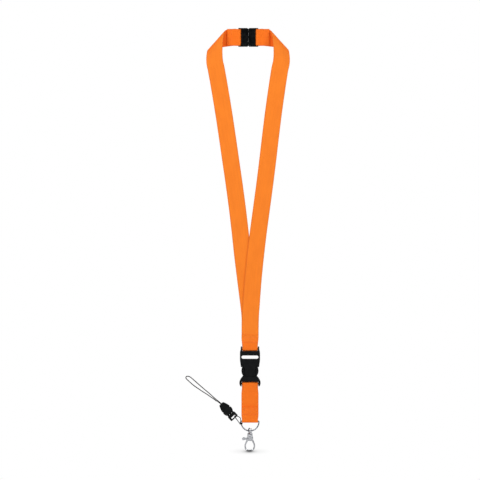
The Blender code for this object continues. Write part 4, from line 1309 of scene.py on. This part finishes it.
def add_hook():
    """The hook's cast body: collar, cheeks and an open bow that is thicker at its foot."""
    place = placed(GEAR_X, 0.0, HOOK_CHEEKS_Z)
    profile = [(2.3, 2.2), (3.0, 2.6), (3.3, 3.1), (3.3, 3.7), (3.05, 3.95), (3.05, 4.15), (3.3, 4.4),
               (3.3, 4.8), (3.0, 5.1), (1.6, 5.1)]
    collar = turned("hook_casting", profile, (GEAR_X, 0.0, HOOK_CHEEKS_Z), 36, METAL)
    cheeks = [(-3.4, 3.4), (3.3, 3.4), (3.9, 0.4), (3.7, -2.2), (2.0, -2.9), (-2.6, -2.6), (-3.9, -0.4)]
    bow = [(2.5, -1.0), (3.8, -3.9), (4.9, -6.6), (5.4, -9.0), (5.1, -11.2), (3.9, -13.2), (1.8, -14.35),
           (-0.6, -14.6), (-2.7, -14.35), (-4.5, -13.2), (-5.6, -11.2), (-5.85, -9.0), (-5.6, -7.6)]
    route = smooth_path([place @ Vector((x, 0.0, z)) for x, z in bow], 0.6)
    pivot_x, pivot_z = GATE_PIVOT
    nose = [(pivot_x, pivot_z - 2.0)] + arc((pivot_x, pivot_z), GATE_REACH + 0.25, 228.0, 264.0, 12)
    pin = circle(GATE_PIVOT, PIN_HOLE_RADIUS, 24)
    here = Matrix.Identity(4)
    bore = turned("hook_bore", [(POST_RADIUS + 0.15, 2.0), (POST_RADIUS + 0.15, 5.0), (1.6, 5.6)],
                  (GEAR_X, 0.0, HOOK_CHEEKS_Z), 24)
    carve(collar, [
        ("UNION", moulded("hook_cheeks", cheeks, -2.6, 2.6, place, corner=1.4, edge=0.9)),
        ("UNION", swept("hook_bow", route, lambda t: 1.2 - 0.25 * ease(t * 4.0), 16)),
        ("DIFFERENCE", bore),
        ("DIFFERENCE", cutter("hook_pocket", box_outline(-7.0, 1.9, -4.5, 2.9), -1.5, 1.5, place)),
        ("DIFFERENCE", cutter("hook_nose_cut", nose, -3.0, 3.0, here)),
        ("DIFFERENCE", cutter("hook_pin_hole", pin, -4.0, 4.0, here)),
    ])
    collar.name = "hook_casting_body"
    cast(collar, 0.13, 4, 0.5)
    metal_piece(collar, "hook", "hook_body")

    ends = [(pivot_x, y, pivot_z) for y in (-PIN_HALF + 0.25, -1.0, 1.0, PIN_HALF - 0.25)]
    rivet = swept("gate_rivet", ends, 0.5, 20, METAL)
    metal_piece(rivet, "hook", "gate_pin")

    coil = []
    turns = 2.5
    for step in range(91):
        angle = 2.0 * math.pi * turns * step / 90.0
        coil.append((pivot_x + 0.85 * math.cos(angle), 0.55 + 0.75 * step / 90.0,
                     pivot_z + 0.85 * math.sin(angle)))
    metal_piece(swept("gate_coil", coil, 0.12, 8, METAL), "hook", "gate_spring")


def add_gate():
    """The gate: a flat lever with a ridged thumb pad, and an arm that shuts the bow."""
    place = placed(GATE_PIVOT[0], 0.0, GATE_PIVOT[1])
    outline = [(-4.3, -7.2), (-3.3, -4.8), (-2.3, -2.6), (-2.7, -1.6), (-4.5, -1.8),
               (-6.6, -2.2), (-7.4, -1.5), (-7.6, 0.2), (-6.9, 1.3), (-5.2, 1.5), (-3.0, 0.9), (-1.3, 0.9)]
    outline += arc((0.0, 0.0), 1.35, 140.0, -30.0, 12)
    outline += [(0.3, -2.2), (-1.3, -4.6), (-2.3, -6.8), (-2.7, -8.2)]
    outline += arc((0.0, 0.0), GATE_REACH, 253.0, 241.5, 6)
    gate = moulded("gate_lever", outline, -0.9, 0.9, place, METAL, corner=0.9, edge=0.3)
    hole = circle((0.0, 0.0), PIN_HOLE_RADIUS, 24)
    seat = circle((0.0, 0.0), 1.2, 28)
    pad = [(-7.9, -1.0), (-3.4, -0.75), (-3.4, 0.35), (-7.9, 0.75)]
    steps = [("DIFFERENCE", cutter("gate_hole", hole, -4.0, 4.0, place)),
             ("DIFFERENCE", cutter("gate_seat", seat, 0.3, 3.0, place)),
             ("DIFFERENCE", cutter("gate_dish", filleted(pad, 0.4), -2.0, -0.55, place))]
    carve(gate, steps)
    crisp(gate)
    metal_piece(gate, "gate", "hook_gate")


# ------------------------------------------------------------------ phone strap

def twisted(name, points, radius, pitch, strands=3):
    """A black cord of strands laid round each other along points."""
    points = [Vector(point) for point in points]
    strand = radius * 0.54
    lay = radius - strand
    frames = frames_along(points)
    walked = 0.0
    phases = [0.0]
    for before, point in zip(points, points[1:]):
        walked += (point - before).length
        phases.append(2.0 * math.pi * walked / pitch)
    parts = []
    for number in range(strands):
        line = []
        for point, (one, two), phase in zip(points, frames, phases):
            angle = phase + 2.0 * math.pi * number / strands
            line.append(point + (one * math.cos(angle) + two * math.sin(angle)) * lay)
        parts.append(swept("%s_strand_%d" % (name, number), line, strand, 7, CORD))
    return joined(name, parts)


STRING_ROUTE = [(-38.05, 0.0, -429.35), (-41.0, 0.0, -426.9), (-43.9, 0.0, -424.2), (-50.0, 0.0, -418.9),
                (-56.2, 0.0, -413.7), (-63.5, 0.0, -407.2), (-70.4, 0.0, -401.4), (-73.6, 0.0, -400.3),
                (-75.6, 0.0, -401.2), (-75.3, 0.0, -403.2), (-72.0, 0.0, -406.5), (-66.5, 0.0, -411.3),
                (-61.0, 0.0, -415.2), (-55.8, 0.0, -418.7), (-50.3, 0.0, -422.2), (-44.8, 0.0, -426.0),
                (-41.0, 0.0, -428.7), (-38.7, 0.0, -430.5)]
TETHER_ROUTE = [(-9.65, -0.95, -456.65), (-9.5, -1.4, -455.9), (-9.2, -1.6, -454.0), (-9.6, -2.1, -451.2),
                (-11.2, -2.6, -449.6), (-13.0, -2.9, -448.8), (-14.5, -3.05, -448.6), (-15.9, -2.7, -448.4),
                (-16.3, -1.3, -448.4), (-16.6, 0.0, -448.5), (-16.8, 1.3, -448.8), (-16.75, 2.7, -449.2),
                (-16.3, 3.05, -450.2), (-15.5, 2.6, -451.2), (-14.7, 1.9, -452.0), (-12.95, 1.5, -454.4),
                (-11.3, 1.45, -456.6), (-10.4, 1.3, -457.9), (-9.65, 0.95, -458.7)]


def cord_piece(obj, body, *nodes):
    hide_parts(*nodes)
    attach(obj, body)


def add_phone_strap():
    line = smooth_path(STRING_ROUTE, 0.35)
    string = twisted("phone_string", line, STRING_RADIUS, 3.2)
    cord_piece(string, "phone_loop", "phone_string_loop")

    start, end = Vector((-33.45, 0.0, -433.45)), Vector((-37.8, 0.0, -430.0))
    sleeve = twisted("string_whipping", [start.lerp(end, k / 40.0) for k in range(41)], 1.0, 1.9,
                     strands=5)
    cord_piece(sleeve, "phone_loop", "string_sleeve")

    tether = twisted("phone_tether", smooth_path(TETHER_ROUTE, 0.35), TETHER_RADIUS, 3.0)
    cord_piece(tether, "phone_strap", "phone_tether_cord")

    corner_x = GEAR_X - math.sqrt(RING_HALF ** 2 - (HITCH_Z - RING_ARC_Z) ** 2)
    axis = Vector((0.13, 0.0, 1.0)).normalized()
    out = Vector((-1.0, 0.0, 0.13)).normalized()
    ahead = Vector((0.0, -1.0, 0.0))
    radius = RING_WIRE + TETHER_RADIUS + 0.03
    coil = []
    for step in range(91):
        share = step / 90.0
        angle = math.radians(-45.0 + 810.0 * share)
        spoke = out * math.cos(angle) + ahead * math.sin(angle)
        coil.append(Vector((corner_x, 0.0, HITCH_Z)) + spoke * radius + axis * 2.1 * (share - 0.5))
    hitch = twisted("tether_knot", coil, TETHER_RADIUS, 3.0)
    cord_piece(hitch, "ring", "tether_hitch")


# ------------------------------------------------------------------ stage

def add_camera():
    """A long lens at the object's own height, raised by one degree."""
    data = bpy.data.cameras.new("camera")
    data.lens = 180.0
    data.sensor_width = 36.0
    data.clip_end = 50.0
    obj = link("camera", data)
    target = Vector((-0.0101, 0.0, -0.2350))
    lift = math.radians(1.0)
    distance = 2.909
    back = Vector((0.0, -math.cos(lift), math.sin(lift)))
    obj.location = target + back * distance
    obj.rotation_mode = "QUATERNION"
    obj.rotation_quaternion = (-back).to_track_quat("-Z", "Y")
    bpy.context.scene.camera = obj


def area_light(name, spot, target, size, power):
    data = bpy.data.lights.new(name, "AREA")
    data.shape = "RECTANGLE"
    data.size, data.size_y = size
    data.energy = power
    obj = link(name, data)
    obj.location = spot
    obj.rotation_euler = (Vector(target) - Vector(spot)).to_track_quat("-Z", "Y").to_euler()


def add_lights():
    """Three soft lights. Places are in metres, and powers in watts."""
    area_light("key", (-1.25, -1.2, 0.95), (0.0, 0.0, -0.2), (0.8, 1.2), 23.0)
    area_light("fill", (1.35, -1.15, 0.75), (0.0, 0.0, -0.2), (0.8, 1.2), 16.0)
    area_light("back", (0.2, 1.4, 0.8), (0.0, 0.0, -0.25), (1.2, 0.8), 9.0)


def add_world():
    """The camera sees pure white. The object is lit by a room that is dark behind the camera."""
    world = bpy.data.worlds.new("white_room")
    bpy.context.scene.world = world
    world.use_nodes = True
    room = Nodes(world.node_tree)
    room.tree.nodes.clear()
    seen = room.node("ShaderNodeBackground")
    room.feed(seen.inputs["Color"], (1.0, 1.0, 1.0, 1.0))
    room.feed(seen.inputs["Strength"], 1.0)
    way = room.node("ShaderNodeSeparateXYZ")
    room.feed(way.inputs[0], room.node("ShaderNodeTexCoord").outputs["Generated"])
    from_above = room.band(way.outputs[2], -0.35, 0.25, 0.45, 1.0)
    from_behind = room.band(way.outputs[1], -0.95, -0.35, 0.08, 1.0)
    lit = room.node("ShaderNodeBackground")
    room.feed(lit.inputs["Color"], room.math("MULTIPLY", from_above, from_behind))
    room.feed(lit.inputs["Strength"], 0.45)
    mix = room.node("ShaderNodeMixShader")
    room.feed(mix.inputs[0], room.node("ShaderNodeLightPath").outputs["Is Camera Ray"])
    room.feed(mix.inputs[1], lit.outputs[0])
    room.feed(mix.inputs[2], seen.outputs[0])
    room.feed(room.node("ShaderNodeOutputWorld").inputs[0], mix.outputs[0])


# the floor's painted shadow: ovals on each other, with half of their width and depth in metres, and their
# darkness
SHADOW = ((0.029, 0.045, 0.12), (0.0125, 0.030, 0.27), (0.0070, 0.018, 0.42))


def add_floor():
    """A white floor, with the soft shadow of the hook painted on it."""
    shape = bmesh.new()
    bmesh.ops.create_grid(shape, x_segments=1, y_segments=1, size=4.0)
    data = bpy.data.meshes.new("floor")
    shape.to_mesh(data)
    shape.free()
    paint = Shader("white_floor")
    place = paint.place()
    keep = 1.0
    # painted shadow: darker ovals in the floor's glow under the hook's foot
    for half_x, half_y, dark in SHADOW:
        spread = paint.node("ShaderNodeVectorMath", operation="LENGTH")
        paint.feed(spread.inputs[0], paint.stretch(place, (1.0 / half_x, 1.0 / half_y, 1.0)))
        shadow = paint.band(spread.outputs["Value"], 0.15, 1.0, dark, 0.0)
        keep = paint.math("SUBTRACT", keep, shadow)
    colour = paint.node("ShaderNodeCombineColor")
    for socket in colour.inputs[:3]:
        paint.feed(socket, keep)
    paint.set(Roughness=1.0, Specular_IOR_Level=0.0)
    paint.main.inputs["Base Color"].default_value = (0.0, 0.0, 0.0, 1.0)
    paint.feed(paint.main.inputs["Emission Color"], colour.outputs[0])
    paint.main.inputs["Emission Strength"].default_value = 1.0
    floor = link("floor", data, paint.material)
    floor.location = ((GEAR_X - 0.6) * MM, 0.0, STAGE_Z * MM)


def main():
    bpy.context.scene.view_settings.view_transform = "Standard"
    add_camera()
    add_world()
    add_lights()
    add_floor()
    add_phone_strap()
    fold = add_webbing()
    add_release_buckle()
    add_breakaway_clip(fold)
    add_mini_buckle()
    add_ring()
    add_eye()
    add_hook()
    add_gate()


main()
